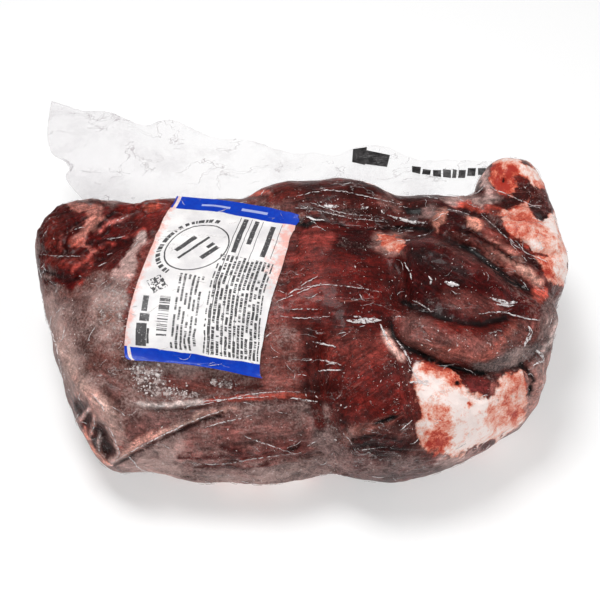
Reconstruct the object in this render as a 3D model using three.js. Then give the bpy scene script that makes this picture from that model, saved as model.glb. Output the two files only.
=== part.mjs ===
// A boneless beef chuck in a clear vacuum bag, lying on its flat side.
// Three solids: the folded meat inside its clinging film, the paper label over it, and the loose tail of spare
// bag that sticks out behind. Millimetres, +X along the pack, +Y towards its back, +Z up, standing on z = 0.
import * as THREE from "three";
import { ImprovedNoise } from "three/addons/math/ImprovedNoise.js";

// Sizes that drive the model
const packLength = 385;
const packDepth = 240;
const packHeight = 132;
const halfLength = packLength / 2;
const halfDepth = packDepth / 2;

// The meat's skin is netted over cells of this size and evened out in so many rounds
const skinCell = 7.7;
const skinRounds = 10;

// How round the meat's resting edge is
const restingEdge = 9;

// How far two muscles melt into each other where they touch, unless a muscle says otherwise
const muscleBlend = 9;

// A place in the pack, given as shares of its half length, half depth and height
const place = ([x, y, z]) => new THREE.Vector3(x * halfLength, y * halfDepth, z * packHeight);

// Lumps all over the meat, and crags at its back left corner, where it was cut and torn
const broadLumps = { size: 38, height: 2.4 };
const smallLumps = { size: 16, height: 1.0 };
const crags = { centre: place([-0.78, 0.4, 0.86]), reach: 52, size: 19, height: 6 };

// Joins two distances with a fillet of about that size
function softMin(a, b, fillet) {
  const near = Math.max(fillet - Math.abs(a - b), 0) / fillet;
  return Math.min(a, b) - (near * near * fillet) / 4;
}

const softMax = (a, b, fillet) => -softMin(-a, -b, fillet);

// A muscle is a rounded block: the more square it is, the flatter its sides. Yaw turns it on the table and roll
// dips its right end, both in degrees.
function muscle(at, half, { yaw = 0, roll = 0, square = 2.6, blend = muscleBlend } = {}) {
  const { degToRad } = THREE.MathUtils;
  const turn = new THREE.Quaternion().setFromEuler(new THREE.Euler(0, degToRad(roll), degToRad(yaw), "ZXY"));
  return { centre: place(at), half: place(half), back: turn.invert(), square, blend };
}

// The muscles, as they lie folded in the bag
const muscles = [
  muscle([-0.04, 0.0, 0.3], [0.78, 0.78, 0.47], { square: 3.0 }), // the slab under everything
  muscle([-0.7, -0.02, 0.36], [0.23, 0.85, 0.44], { yaw: 17, square: 2.9 }), // left end
  muscle([-0.38, 0.07, 0.53], [0.44, 0.7, 0.42], { yaw: -6, square: 2.8 }), // broad muscle under the label
  muscle([0.12, 0.02, 0.55], [0.27, 0.66, 0.41], { yaw: -3, square: 2.7 }), // centre
  muscle([0.09, 0.6, 0.59], [0.35, 0.27, 0.38], { yaw: -3, square: 2.2 }), // hump of the strip along the back edge
  muscle([0.5, 0.54, 0.54], [0.26, 0.27, 0.34], { square: 2.4 }), // between that strip and the knob
  muscle([0.68, -0.2, 0.38], [0.2, 0.44, 0.4], { yaw: -11, square: 2.5 }), // rim at the right end
  muscle([0.64, 0.3, 0.3], [0.25, 0.46, 0.36], { square: 2.8 }), // under that end, at its back
  muscle([0.795, 0.4, 0.58], [0.188, 0.43, 0.38], { yaw: 3, square: 2.9, blend: 7 }), // fat along the right end
  muscle([0.81, 0.79, 0.7], [0.14, 0.18, 0.28], { square: 2.2, blend: 8 }), // knob at the back right corner
  muscle([-0.775, 0.38, 0.495], [0.23, 0.39, 0.37], { yaw: 14, square: 3.0, blend: 7 }), // craggy back left corner
  muscle([-0.25, -0.49, 0.33], [0.5, 0.41, 0.4], { yaw: -2, square: 2.5, blend: 6 }), // front roll
  muscle([0.37, -0.49, 0.41], [0.4, 0.42, 0.44], { yaw: 12, square: 2.35, blend: 7 }), // lower right round
  muscle([0.53, -0.34, 0.56], [0.33, 0.28, 0.37], { yaw: -4, square: 2.2, blend: 6 }), // lip under the upper round
  muscle([0.55, 0.0, 0.6], [0.4, 0.32, 0.44], { yaw: -30, square: 2.0, blend: 7 }), // upper right round
  muscle([0.67, 0.18, 0.84], [0.25, 0.18, 0.15], { yaw: -38, roll: 10, square: 2.3, blend: 8 }), // strips of fat
  muscle([0.78, 0.27, 0.88], [0.1, 0.12, 0.13], { square: 2.2, blend: 9 }), // ball of fat before the knob
];

// Distance to one muscle's skin, negative inside
function muscleDistance(part, point) {
  const q = point.clone().sub(part.centre).applyQuaternion(part.back);
  const n = part.square;
  const share = [Math.abs(q.x) / part.half.x, Math.abs(q.y) / part.half.y, Math.abs(q.z) / part.half.z];
  const reach = Math.pow(share[0] ** n + share[1] ** n + share[2] ** n, 1 / n);
  if (reach < 1e-3) return -Math.min(part.half.x, part.half.y, part.half.z);
  const slope = Math.hypot(
    (share[0] / reach) ** (n - 1) / part.half.x,
    (share[1] / reach) ** (n - 1) / part.half.y,
    (share[2] / reach) ** (n - 1) / part.half.z,
  );
  return (reach - 1) / slope;
}

// A seam is a groove pressed in along a curve through a few places, or a ridge where its depth is negative.
// It starts and ends shallow, and is at full depth from a quarter of its length on.
function seam(places, { width, depth }) {
  const curve = new THREE.CatmullRomCurve3(places.map(place));
  const spacing = width * 0.7;
  const shallow = 0.25;
  const samples = curve.getSpacedPoints(Math.ceil(curve.getLength() / spacing));
  const last = samples.length - 1;
  const deep = samples.map((_, i) => {
    const quarters = (4 * Math.min(i, last - i)) / last;
    return depth * Math.min(1, shallow + (1 - shallow) * quarters);
  });
  return { samples, deep, width };
}

const seams = [
  seam([[0.25, -0.3, 0.93], [0.33, -0.5, 0.9], [0.46, -0.62, 0.87], [0.62, -0.64, 0.84], [0.84, -0.42, 0.76]],
    { width: 9, depth: 14 }), // under the upper right round
  seam([[0.04, -0.1, 0.96], [0.03, -0.38, 0.89], [0.035, -0.66, 0.81], [0.09, -0.88, 0.64], [0.15, -0.95, 0.42]],
    { width: 13, depth: 6 }), // left of the lower right round
  seam([[0.36, 0.06, 1.0], [0.41, -0.14, 1.0], [0.5, -0.27, 0.98], [0.63, -0.29, 0.96], [0.78, -0.24, 0.88]],
    { width: 8, depth: 6 }), // across the upper right round
  seam([[-0.05, 0.36, 1.0], [0.16, 0.31, 0.99], [0.36, 0.3, 0.98], [0.48, 0.22, 0.99]],
    { width: 8, depth: 6 }), // between the centre and the strip along the back
  seam([[0.57, 0.5, 0.96], [0.66, 0.47, 1.0], [0.74, 0.46, 0.98], [0.9, 0.58, 0.9]],
    { width: 8, depth: 7 }), // in front of the knob
  seam([[0.48, 0.24, 1.0], [0.62, 0.08, 1.0], [0.76, -0.08, 0.95], [0.87, -0.16, 0.84]],
    { width: 8, depth: 6 }), // between the upper right round and the strips of fat
  seam([[0.54, 0.32, 1.0], [0.68, 0.17, 1.0], [0.8, 0.02, 0.95], [0.88, -0.06, 0.86]],
    { width: 7, depth: 5 }), // between the two strips of fat
  seam([[-0.62, -0.9, 0.42], [-0.45, -0.88, 0.56], [-0.26, -0.8, 0.66], [0.0, -0.72, 0.72]],
    { width: 9, depth: 7 }), // above the front roll
  seam([[-0.67, -0.84, 0.32], [-0.49, -0.83, 0.52], [-0.35, -0.79, 0.63], [-0.24, -0.75, 0.67]],
    { width: 6, depth: -4 }), // folded edge of the flap over the front roll
  seam([[-0.77, -0.66, 0.6], [-0.74, -0.76, 0.5], [-0.7, -0.82, 0.36]],
    { width: 10, depth: 7 }), // pocket at the front left corner
  seam([[-0.96, 0.16, 0.62], [-0.88, 0.03, 0.74], [-0.79, -0.01, 0.8], [-0.7, 0.0, 0.87], [-0.62, 0.14, 0.92]],
    { width: 7, depth: 6 }), // lower edge of the craggy corner
];

// How deep the seams cut at a point, fading to nothing three widths away
function seamDepth(point) {
  let groove = 0;
  let ridge = 0;
  for (const { samples, deep, width } of seams) {
    for (let i = 0; i < samples.length; i++) {
      const away = point.distanceToSquared(samples[i]) / (width * width);
      if (away > 9) continue;
      groove = Math.max(groove, deep[i] * Math.exp(-away));
      ridge = Math.min(ridge, deep[i] * Math.exp(-away));
    }
  }
  return groove + ridge;
}

// Smooth noise between about -1 and 1, in lumps of the given size. The start says which stretch of it is used.
const noise = new ImprovedNoise();
const noiseStart = 40;
function noiseAt(point, size) {
  const { x, y, z } = point.clone().divideScalar(size).addScalar(noiseStart);
  return noise.noise(x, y, z);
}

// How far the surface stands out in lumps and crags at a point
function relief(point) {
  let lumps = 0;
  for (const { size, height } of [broadLumps, smallLumps]) lumps += height * noiseAt(point, size);
  const away = point.distanceToSquared(crags.centre) / crags.reach ** 2;
  const torn = 0.5 - Math.abs(noiseAt(point, crags.size)) - 0.6 * Math.abs(noiseAt(point, crags.size * 2));
  return lumps + crags.height * torn * Math.exp(-away * away);
}

// Distance to the whole block of meat, cut flat where it rests
function meatDistance(point) {
  let distance = 1e3;
  for (const part of muscles) distance = softMin(distance, muscleDistance(part, point), part.blend);
  return softMax(distance + seamDepth(point) - relief(point), -point.z, restingEdge);
}

// Moves a point straight onto the skin of a solid given by its distance
function settle(point, distance) {
  const reach = 0.5;
  const steps = 3;
  const leastSlope = 0.4;
  const probe = new THREE.Vector3();
  const slope = new THREE.Vector3();
  for (let step = 0; step < steps; step++) {
    const here = distance(point);
    for (const axis of ["x", "y", "z"]) {
      probe.copy(point);
      probe[axis] += reach;
      slope[axis] = (distance(probe) - here) / reach;
    }
    point.addScaledVector(slope, -here / Math.max(slope.lengthSq(), leastSlope));
  }
  return point;
}

// Nets the skin of a solid: one point in every grid cell that the skin crosses, and a face across every grid edge
// that it crosses
function netSkin(distance, low, high, cell) {
  const size = high.clone().sub(low).divideScalar(cell).ceil();
  const count = { x: size.x + 1, y: size.y + 1, z: size.z + 1 };
  const index = (x, y, z) => x + count.x * (y + count.y * z);
  const at = (x, y, z) => new THREE.Vector3(x, y, z).multiplyScalar(cell).add(low);
  const value = new Float64Array(count.x * count.y * count.z);
  for (let z = 0; z < count.z; z++)
    for (let y = 0; y < count.y; y++)
      for (let x = 0; x < count.x; x++) value[index(x, y, z)] = distance(at(x, y, z));

  const step = { x: [1, 0, 0], y: [0, 1, 0], z: [0, 0, 1] };
  const others = { x: ["y", "z"], y: ["z", "x"], z: ["x", "y"] };
  const cellPoint = new Map();
  const faces = [];
  for (const axis of ["x", "y", "z"]) {
    const [u, v] = others[axis].map((name) => step[name]);
    for (let z = 1; z < size.z; z++)
      for (let y = 1; y < size.y; y++)
        for (let x = 1; x < size.x; x++) {
          const from = value[index(x, y, z)];
          const to = value[index(x + step[axis][0], y + step[axis][1], z + step[axis][2])];
          if (from < 0 === to < 0) continue;
          const crossing = at(x, y, z).addScaledVector(new THREE.Vector3(...step[axis]), (cell * from) / (from - to));
          const around = [[0, 0], [1, 0], [1, 1], [0, 1]].map(([a, b]) => {
            const key = index(x - a * u[0] - b * v[0], y - a * u[1] - b * v[1], z - a * u[2] - b * v[2]);
            const entry = cellPoint.get(key) ?? { sum: new THREE.Vector3(), hits: 0, corner: cellPoint.size };
            entry.sum.add(crossing);
            entry.hits += 1;
            cellPoint.set(key, entry);
            return entry.corner;
          });
          faces.push(from < 0 ? around : around.reverse());
        }
  }
  const points = [...cellPoint.values()].map(({ sum, hits }) => sum.divideScalar(hits));
  return { points, faces };
}

// Evens out a netted skin: every point drifts to the middle of its neighbours, then back onto the solid
function relax({ points, faces }, distance, rounds) {
  const stay = 0.4;
  const neighbours = points.map(() => new Set());
  for (const face of faces) face.forEach((corner, i) => {
    neighbours[corner].add(face[(i + 1) % 4]);
    neighbours[face[(i + 1) % 4]].add(corner);
  });
  for (let round = 0; round < rounds; round++) {
    const moved = points.map((point, i) => {
      const middle = new THREE.Vector3();
      for (const j of neighbours[i]) middle.add(points[j]);
      return settle(middle.divideScalar(neighbours[i].size).lerp(point, stay), distance);
    });
    moved.forEach((point, i) => points[i].copy(point));
  }
}

// Splits four-cornered faces along their shorter diagonal and makes a geometry of them
function facesToGeometry({ points, faces }) {
  const triangles = faces.flatMap(([a, b, c, d]) =>
    points[a].distanceTo(points[c]) < points[b].distanceTo(points[d]) ? [a, b, c, a, c, d] : [a, b, d, b, c, d],
  );
  const geometry = new THREE.BufferGeometry().setFromPoints(points);
  geometry.setIndex(triangles);
  return geometry;
}

function meatGeometry() {
  const margin = 3 * skinCell;
  const low = new THREE.Vector3(-halfLength - margin, -halfDepth - margin, -1.5 * skinCell);
  const high = new THREE.Vector3(halfLength + margin, halfDepth + margin, packHeight + margin);
  const skin = netSkin(meatDistance, low, high, skinCell);
  relax(skin, meatDistance, skinRounds);
  const nearlyFlat = 0.1;
  for (const point of skin.points) if (Math.abs(point.z) < nearlyFlat) point.z = 0;
  return facesToGeometry(skin);
}

// The point where a straight way through open space first meets the meat
function meetMeat(from, way) {
  const at = (t) => from.clone().addScaledVector(way, t);
  let inside = 0;
  while (inside < packLength && meatDistance(at(inside)) > 0) inside += 1;
  let outside = inside - 1;
  for (let halving = 0; halving < 12; halving++) {
    const middle = (inside + outside) / 2;
    if (meatDistance(at(middle)) > 0) outside = middle;
    else inside = middle;
  }
  return at(inside);
}

// The way straight out of the meat at a point on its skin
function outward(point) {
  const reach = 3;
  const slope = ["x", "y", "z"].map((axis) => {
    const ahead = point.clone();
    const behind = point.clone();
    ahead[axis] += reach;
    behind[axis] -= reach;
    return meatDistance(ahead) - meatDistance(behind);
  });
  return new THREE.Vector3(...slope).normalize();
}

// A thin closed sheet of so many columns and rows of cells. Its upper and lower side each give a point for a share
// of the way across and back.
function sheetGeometry(columns, rows, upper, lower) {
  const points = [];
  for (const side of [upper, lower])
    for (let j = 0; j <= rows; j++)
      for (let i = 0; i <= columns; i++) points.push(side(i / columns, j / rows));
  const half = (columns + 1) * (rows + 1);
  const at = (i, j) => i + j * (columns + 1);
  const triangles = [];
  const quad = (a, b, c, d) => triangles.push(a, b, c, a, c, d);
  for (let j = 0; j < rows; j++)
    for (let i = 0; i < columns; i++) {
      const [a, b, c, d] = [at(i, j), at(i + 1, j), at(i + 1, j + 1), at(i, j + 1)];
      quad(a, b, c, d);
      triangles.push(a + half, c + half, b + half, a + half, d + half, c + half);
    }
  const rim = [];
  for (let i = 0; i < columns; i++) rim.push(at(i, 0));
  for (let j = 0; j < rows; j++) rim.push(at(columns, j));
  for (let i = columns; i > 0; i--) rim.push(at(i, rows));
  for (let j = rows; j > 0; j--) rim.push(at(0, j));
  rim.forEach((a, k) => {
    const b = rim[(k + 1) % rim.length];
    quad(a, a + half, b + half, b);
  });
  const geometry = new THREE.BufferGeometry().setFromPoints(points);
  geometry.setIndex(triangles);
  return geometry;
}

// The paper label lies over the broad muscle. Its four corners are seen from above, and both sides bow to the
// left where the paper bends over the muscle's edge.
const label = {
  frontLeft: new THREE.Vector2(-114, -63),
  frontRight: new THREE.Vector2(-27, -73),
  backRight: new THREE.Vector2(0, 57),
  backLeft: new THREE.Vector2(-90, 74),
  bow: [6, 5],
  lift: 1.5,
  thickness: 0.6,
  columns: 14,
  rows: 20,
};

function labelGeometry() {
  const skin = [];
  for (let j = 0; j <= label.rows; j++)
    for (let i = 0; i <= label.columns; i++) {
      const [across, back] = [i / label.columns, j / label.rows];
      const front = label.frontLeft.clone().lerp(label.frontRight, across);
      const spot = front.lerp(label.backLeft.clone().lerp(label.backRight, across), back);
      spot.x -= THREE.MathUtils.lerp(...label.bow, across) * Math.sin(Math.PI * Math.sqrt(back));
      const on = meetMeat(new THREE.Vector3(spot.x, spot.y, 1.3 * packHeight), new THREE.Vector3(0, 0, -1));
      skin.push({ on, out: outward(on) });
    }
  const raised = (height) => (across, back) => {
    const { on, out } = skin[Math.round(across * label.columns) + Math.round(back * label.rows) * (label.columns + 1)];
    return on.clone().addScaledVector(out, height);
  };
  return sheetGeometry(label.columns, label.rows, raised(label.lift + label.thickness), raised(label.lift));
}

// The tail of spare bag leaves the meat along its back, between two places in X, and ends in a free edge, which
// these points follow. It waves more and more towards that edge.
const tail = {
  freeEdge: [
    [-203, 208, 84], [-162, 198, 84], [-132, 186, 83], [-108, 190, 82], [-80, 177, 82], [-27, 161, 82],
    [18, 149, 83], [44, 157, 85], [70, 152, 87], [90, 138, 91], [118, 128, 98], [158, 122, 106],
  ].map((point) => new THREE.Vector3(...point)),
  rootFrom: -156,
  rootTo: 146,
  rootHeight: [84, 98],
  clearance: 1.2,
  thickness: 0.6,
  flare: 1.25,
  waves: 3,
  waveLength: 46,
  waveSlant: 0.6,
  stillerEnd: 0.6,
  columns: 60,
  rows: 8,
};

function tailGeometry() {
  const edge = new THREE.CatmullRomCurve3(tail.freeEdge);
  const roots = [];
  for (let i = 0; i <= tail.columns; i++) {
    const along = i / tail.columns;
    const x = THREE.MathUtils.lerp(tail.rootFrom, tail.rootTo, along);
    const z = THREE.MathUtils.lerp(...tail.rootHeight, along * along);
    roots.push(meetMeat(new THREE.Vector3(x, packDepth, z), new THREE.Vector3(0, -1, 0)));
  }
  const raised = (height) => (along, out) => {
    const free = edge.getPoint(along);
    const root = roots[Math.round(along * tail.columns)];
    const point = root.clone().lerp(free, out);
    const spread = Math.sin((Math.PI / 2) * Math.min(1, out * tail.flare));
    point.x = THREE.MathUtils.lerp(root.x, free.x, spread);
    const wave = Math.sin(((point.x + tail.waveSlant * point.y) / tail.waveLength) * 2 * Math.PI);
    point.z += tail.waves * out * wave * (1 - tail.stillerEnd * along);
    const short = tail.clearance - meatDistance(point);
    if (short > 0) point.addScaledVector(outward(point), short);
    point.z += height;
    return point;
  };
  return sheetGeometry(tail.columns, tail.rows, raised(tail.thickness), raised(0));
}

const looks = {
  meat: new THREE.MeshStandardMaterial({ color: 0x6e2a28, roughness: 0.35, metalness: 0 }),
  label: new THREE.MeshStandardMaterial({ color: 0xeeecea, roughness: 0.55, metalness: 0 }),
  bag_tail: new THREE.MeshStandardMaterial({
    color: 0xf4f4f4, roughness: 0.2, metalness: 0, transparent: true, opacity: 0.35,
  }),
};

const shapes = { meat: meatGeometry, label: labelGeometry, bag_tail: tailGeometry };

const pack = new THREE.Group();
for (const [name, shape] of Object.entries(shapes)) {
  const piece = new THREE.Mesh(shape(), looks[name]);
  piece.name = name;
  pack.add(piece);
}

// The origin is the middle of the whole pack's footprint, on the surface that it rests on
const bounds = new THREE.Box3().setFromObject(pack);
const middle = bounds.getCenter(new THREE.Vector3());
pack.position.set(-middle.x, -middle.y, -bounds.min.z);

export default pack;
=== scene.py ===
import math
import random

import bpy
import numpy as np
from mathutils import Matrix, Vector, noise
from mathutils.bvhtree import BVHTree


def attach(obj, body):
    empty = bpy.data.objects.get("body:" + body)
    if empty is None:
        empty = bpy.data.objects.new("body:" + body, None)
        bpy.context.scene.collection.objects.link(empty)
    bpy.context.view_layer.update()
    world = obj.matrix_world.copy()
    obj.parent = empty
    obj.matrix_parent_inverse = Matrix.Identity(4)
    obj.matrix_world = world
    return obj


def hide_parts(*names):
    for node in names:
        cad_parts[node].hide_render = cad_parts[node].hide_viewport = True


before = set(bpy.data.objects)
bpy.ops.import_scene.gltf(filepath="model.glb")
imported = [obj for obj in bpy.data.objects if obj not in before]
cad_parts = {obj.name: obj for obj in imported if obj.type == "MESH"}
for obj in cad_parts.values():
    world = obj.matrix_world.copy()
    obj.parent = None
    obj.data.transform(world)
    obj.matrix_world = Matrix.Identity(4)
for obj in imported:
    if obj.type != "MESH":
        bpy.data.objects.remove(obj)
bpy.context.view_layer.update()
random.seed(7)

# The camera comes first, because lines and patches are placed by where they show in the photograph, whose
# pixels run from the top left corner. Lengths are metres, unless a name says otherwise.
picture = {
    "side": 600,
    "lens": 70.0,
    "sensor": 36.0,
    "distance": 0.852,
    "elevation": 52.0,
    "lookAt": (0.0052, -0.0278, 0.065),
}


def pictureAxes():
    elevation = math.radians(picture["elevation"])
    forward = np.array([0.0, math.cos(elevation), -math.sin(elevation)])
    upward = np.array([0.0, math.sin(elevation), math.cos(elevation)])
    eye = np.array(picture["lookAt"]) - forward * picture["distance"]
    return eye, forward, upward


def photoPlace(points):
    # the pixel at which each point shows
    eye, forward, upward = pictureAxes()
    away = points - eye
    scale = picture["lens"] / picture["sensor"] * picture["side"] / (away @ forward)
    half = picture["side"] / 2
    return half + away[:, 0] * scale, half - (away @ upward) * scale


def photoRay(pixel):
    # from the camera through a pixel
    eye, forward, upward = pictureAxes()
    scale = picture["lens"] / picture["sensor"] * picture["side"]
    half = picture["side"] / 2
    direction = forward + np.array([(pixel[0] - half) / scale, 0, 0]) - upward * (pixel[1] - half) / scale
    return Vector(eye), Vector(direction).normalized()


def addCamera():
    eye, forward, upward = pictureAxes()
    bpy.ops.object.camera_add(location=eye)
    camera = bpy.context.object
    camera.name = "photoCamera"
    camera.rotation_euler = Vector(forward).to_track_quat("-Z", "Y").to_euler()
    camera.data.lens = picture["lens"]
    camera.data.sensor_width = picture["sensor"]
    bpy.context.scene.camera = camera


# Small helpers for meshes
def pick(piece):
    bpy.ops.object.select_all(action="DESELECT")
    piece.select_set(True)
    bpy.context.view_layer.objects.active = piece


def applyModifiers(piece):
    pick(piece)
    for modifier in list(piece.modifiers):
        bpy.ops.object.modifier_apply(modifier=modifier.name)


def readPoints(piece):
    points = np.empty(len(piece.data.vertices) * 3, np.float32)
    piece.data.vertices.foreach_get("co", points)
    return points.reshape(-1, 3).astype(float)


def writePoints(piece, points):
    piece.data.vertices.foreach_set("co", points.astype(np.float32).ravel())
    piece.data.update()


def readNormals(piece):
    normals = np.empty(len(piece.data.vertices) * 3, np.float32)
    piece.data.vertex_normals.foreach_get("vector", normals)
    return normals.reshape(-1, 3).astype(float)


def readEdges(piece):
    edges = np.empty(len(piece.data.edges) * 2, np.int32)
    piece.data.edges.foreach_get("vertices", edges)
    return edges.reshape(-1, 2)


def averaged(values, edges, rounds):
    # each vertex takes the mean of its neighbours and itself, several times
    count = np.ones(len(values))
    np.add.at(count, edges[:, 0], 1)
    np.add.at(count, edges[:, 1], 1)
    flat = values.reshape(len(values), -1).copy()
    for _ in range(rounds):
        total = flat.copy()
        for column in range(flat.shape[1]):
            total[:, column] += np.bincount(edges[:, 0], flat[edges[:, 1], column], len(flat))
            total[:, column] += np.bincount(edges[:, 1], flat[edges[:, 0], column], len(flat))
        flat = total / count[:, None]
    return flat.reshape(values.shape)


def storeValue(piece, name, values):
    attribute = piece.data.attributes.new(name, "FLOAT", "POINT")
    attribute.data.foreach_set("value", values.astype(np.float32))


def storeVector(piece, name, values):
    attribute = piece.data.attributes.new(name, "FLOAT_VECTOR", "POINT")
    attribute.data.foreach_set("vector", values.astype(np.float32).ravel())


def storeColour(piece, name, values):
    attribute = piece.data.attributes.new(name, "FLOAT_COLOR", "POINT")
    solid = np.concatenate([values, np.ones((len(values), 1))], 1)
    attribute.data.foreach_set("color", solid.astype(np.float32).ravel())


def copyNode(node, name):
    piece = bpy.data.objects.new(name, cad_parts[node].data.copy())
    bpy.context.scene.collection.objects.link(piece)
    piece.data.materials.clear()
    pick(piece)
    bpy.ops.object.mode_set(mode="EDIT")
    bpy.ops.mesh.select_all(action="SELECT")
    bpy.ops.mesh.remove_doubles(threshold=0.00002)
    bpy.ops.mesh.customdata_custom_splitnormals_clear()
    bpy.ops.object.mode_set(mode="OBJECT")
    return piece


def subdivide(piece, cuts):
    pick(piece)
    bpy.ops.object.mode_set(mode="EDIT")
    bpy.ops.mesh.select_all(action="SELECT")
    bpy.ops.mesh.subdivide(number_cuts=cuts)
    bpy.ops.mesh.quads_convert_to_tris()
    bpy.ops.object.mode_set(mode="OBJECT")


def treeOf(piece):
    return BVHTree.FromObject(piece, bpy.context.evaluated_depsgraph_get())


def smoothStep(low, high, values):
    share = np.clip((values - low) / (high - low), 0, 1)
    return share * share * (3 - 2 * share)


def lumps(points, size, octaves=3, seed=0.0, stretch=(1, 1, 1)):
    # uneven values from about -1 to 1, over lumps of this size
    shift = Vector((seed, -2.3 * seed, 1.7 * seed))
    scaled = points / size / np.array(stretch)
    return np.array([noise.fractal(Vector(p) + shift, 0.9, 2.0, octaves) for p in scaled.tolist()])


def lineDistance(x, y, line):
    # distance in pixels from a broken line, and the share of the way along it
    corners = np.array(line, float)
    if len(corners) == 1:
        return np.hypot(x - corners[0, 0], y - corners[0, 1]), np.full(len(x), 0.5)
    lengths = np.hypot(*(corners[1:] - corners[:-1]).T)
    start = np.concatenate([[0], np.cumsum(lengths)])
    nearest, along = np.full(len(x), 1e9), np.zeros(len(x))
    for i, length in enumerate(lengths):
        way = (corners[i + 1] - corners[i]) / length
        step = np.clip((x - corners[i, 0]) * way[0] + (y - corners[i, 1]) * way[1], 0, length)
        gap = np.hypot(x - corners[i, 0] - step * way[0], y - corners[i, 1] - step * way[1])
        closer = gap < nearest
        nearest[closer] = gap[closer]
        along[closer] = (start[i] + step[closer]) / start[-1]
    return nearest, along


def insideDistance(x, y, outline):
    # pixels inside an outline, negative outside it
    corners = np.array(outline, float)
    gap, _ = lineDistance(x, y, list(outline) + [outline[0]])
    inside = np.zeros(len(x), bool)
    for (ax, ay), (bx, by) in zip(corners, np.roll(corners, -1, 0)):
        crosses = (ay > y) != (by > y)
        at = ax + (y - ay) / np.where(by == ay, 1e-9, by - ay) * (bx - ax)
        inside ^= crosses & (x < at)
    return np.where(inside, gap, -gap)


def finishPiece(piece, slot, material, *nodes):
    piece.data.materials.clear()
    piece.data.materials.append(material)
    piece.data.shade_smooth()
    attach(piece, "root")
    if nodes:
        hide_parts(*nodes)


# Small helpers for materials
def toLinear(colour):
    share = np.array(colour, float) / 255
    return np.where(share <= 0.04045, share / 12.92, ((share + 0.055) / 1.055) ** 2.4)


def shade(colour):
    return (*toLinear(colour), 1.0)


def addNode(tree, kind, inputs=None, **settings):
    made = tree.nodes.new(kind)
    for name, value in settings.items():
        setattr(made, name, value)
    for name, value in (inputs or {}).items():
        if isinstance(value, bpy.types.NodeSocket):
            tree.links.new(value, made.inputs[name])
        else:
            made.inputs[name].default_value = value
    return made


def addMath(tree, operation, a, b=0.0, clamp=False):
    made = addNode(tree, "ShaderNodeMath", {0: a, 1: b}, operation=operation, use_clamp=clamp)
    return made.outputs[0]


def addMix(tree, share, a, b, blend="MIX"):
    made = addNode(tree, "ShaderNodeMix", {0: share, 6: a, 7: b}, data_type="RGBA", blend_type=blend)
    return made.outputs[2]


def addRange(tree, value, low, high, toLow=0.0, toHigh=1.0, smooth=True):
    kind = "SMOOTHSTEP" if smooth else "LINEAR"
    inputs = {0: value, 1: low, 2: high, 3: toLow, 4: toHigh}
    return addNode(tree, "ShaderNodeMapRange", inputs, interpolation_type=kind, clamp=True).outputs[0]


def addNoise(tree, place, scale, detail=4.0, roughness=0.55, stretch=None):
    if stretch:
        place = addNode(tree, "ShaderNodeMapping", {0: place, 3: stretch}).outputs[0]
    return addNode(tree, "ShaderNodeTexNoise", {0: place, 2: scale, 3: detail, 4: roughness}).outputs[0]


def newGroup(name, inputs, outputs):
    group = bpy.data.node_groups.new(name, "ShaderNodeTree")
    for socket, kind in inputs.items():
        group.interface.new_socket(socket, in_out="INPUT", socket_type=kind)
    for socket, kind in outputs.items():
        group.interface.new_socket(socket, in_out="OUTPUT", socket_type=kind)
    given = group.nodes.new("NodeGroupInput")
    result = group.nodes.new("NodeGroupOutput")
    return group, given.outputs, result.inputs


def useGroup(tree, group, inputs):
    made = addNode(tree, "ShaderNodeGroup", node_tree=group)
    for name, value in inputs.items():
        if isinstance(value, bpy.types.NodeSocket):
            tree.links.new(value, made.inputs[name])
        else:
            made.inputs[name].default_value = value
    return made.outputs


def newMaterial(name):
    material = bpy.data.materials.new(name)
    material.use_nodes = True
    tree = material.node_tree
    return material, tree, tree.nodes["Principled BSDF"]


floatSocket, vectorSocket = "NodeSocketFloat", "NodeSocketVector"


def makeRaggedEdge():
    # turns a soft painted mask into one with a crisp, uneven edge
    group, given, result = newGroup(
        "raggedEdge",
        {"Mask": floatSocket, "Place": vectorSocket, "Scale": floatSocket, "Spread": floatSocket},
        {"Mask": floatSocket},
    )
    uneven = addNoise(group, given["Place"], 100.0, 7.0, 0.68)
    group.links.new(given["Scale"], uneven.node.inputs["Scale"])
    centred = addMath(group, "SUBTRACT", uneven, 0.5)
    spread = addMath(group, "MULTIPLY", centred, given["Spread"])
    shifted = addMath(group, "ADD", given["Mask"], spread)
    group.links.new(addRange(group, shifted, 0.28, 0.72), result["Mask"])
    return group


def makeFrostGrain():
    # frost lies in patches of fine crystals, thicker where Amount is high
    group, given, result = newGroup(
        "frostGrain", {"Place": vectorSocket, "Amount": floatSocket}, {"Mask": floatSocket, "Crystals": floatSocket}
    )
    patches = addMath(group, "SUBTRACT", addNoise(group, given["Place"], 70.0, 5.0, 0.6), 0.5)
    crystals = addMath(group, "SUBTRACT", addNoise(group, given["Place"], 620.0, 3.0, 0.7), 0.5)
    mixed = addMath(group, "MULTIPLY_ADD", patches, 1.5)
    group.links.new(addMath(group, "MULTIPLY", crystals, 1.5), mixed.node.inputs[2])
    total = addMath(group, "ADD", given["Amount"], mixed)
    group.links.new(addRange(group, total, 0.25, 1.0), result["Mask"])
    clumps = addMath(group, "MULTIPLY", addRange(group, crystals, 0.08, 0.2), addRange(group, total, 0.75, 1.1))
    group.links.new(clumps, result["Crystals"])
    return group


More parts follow.
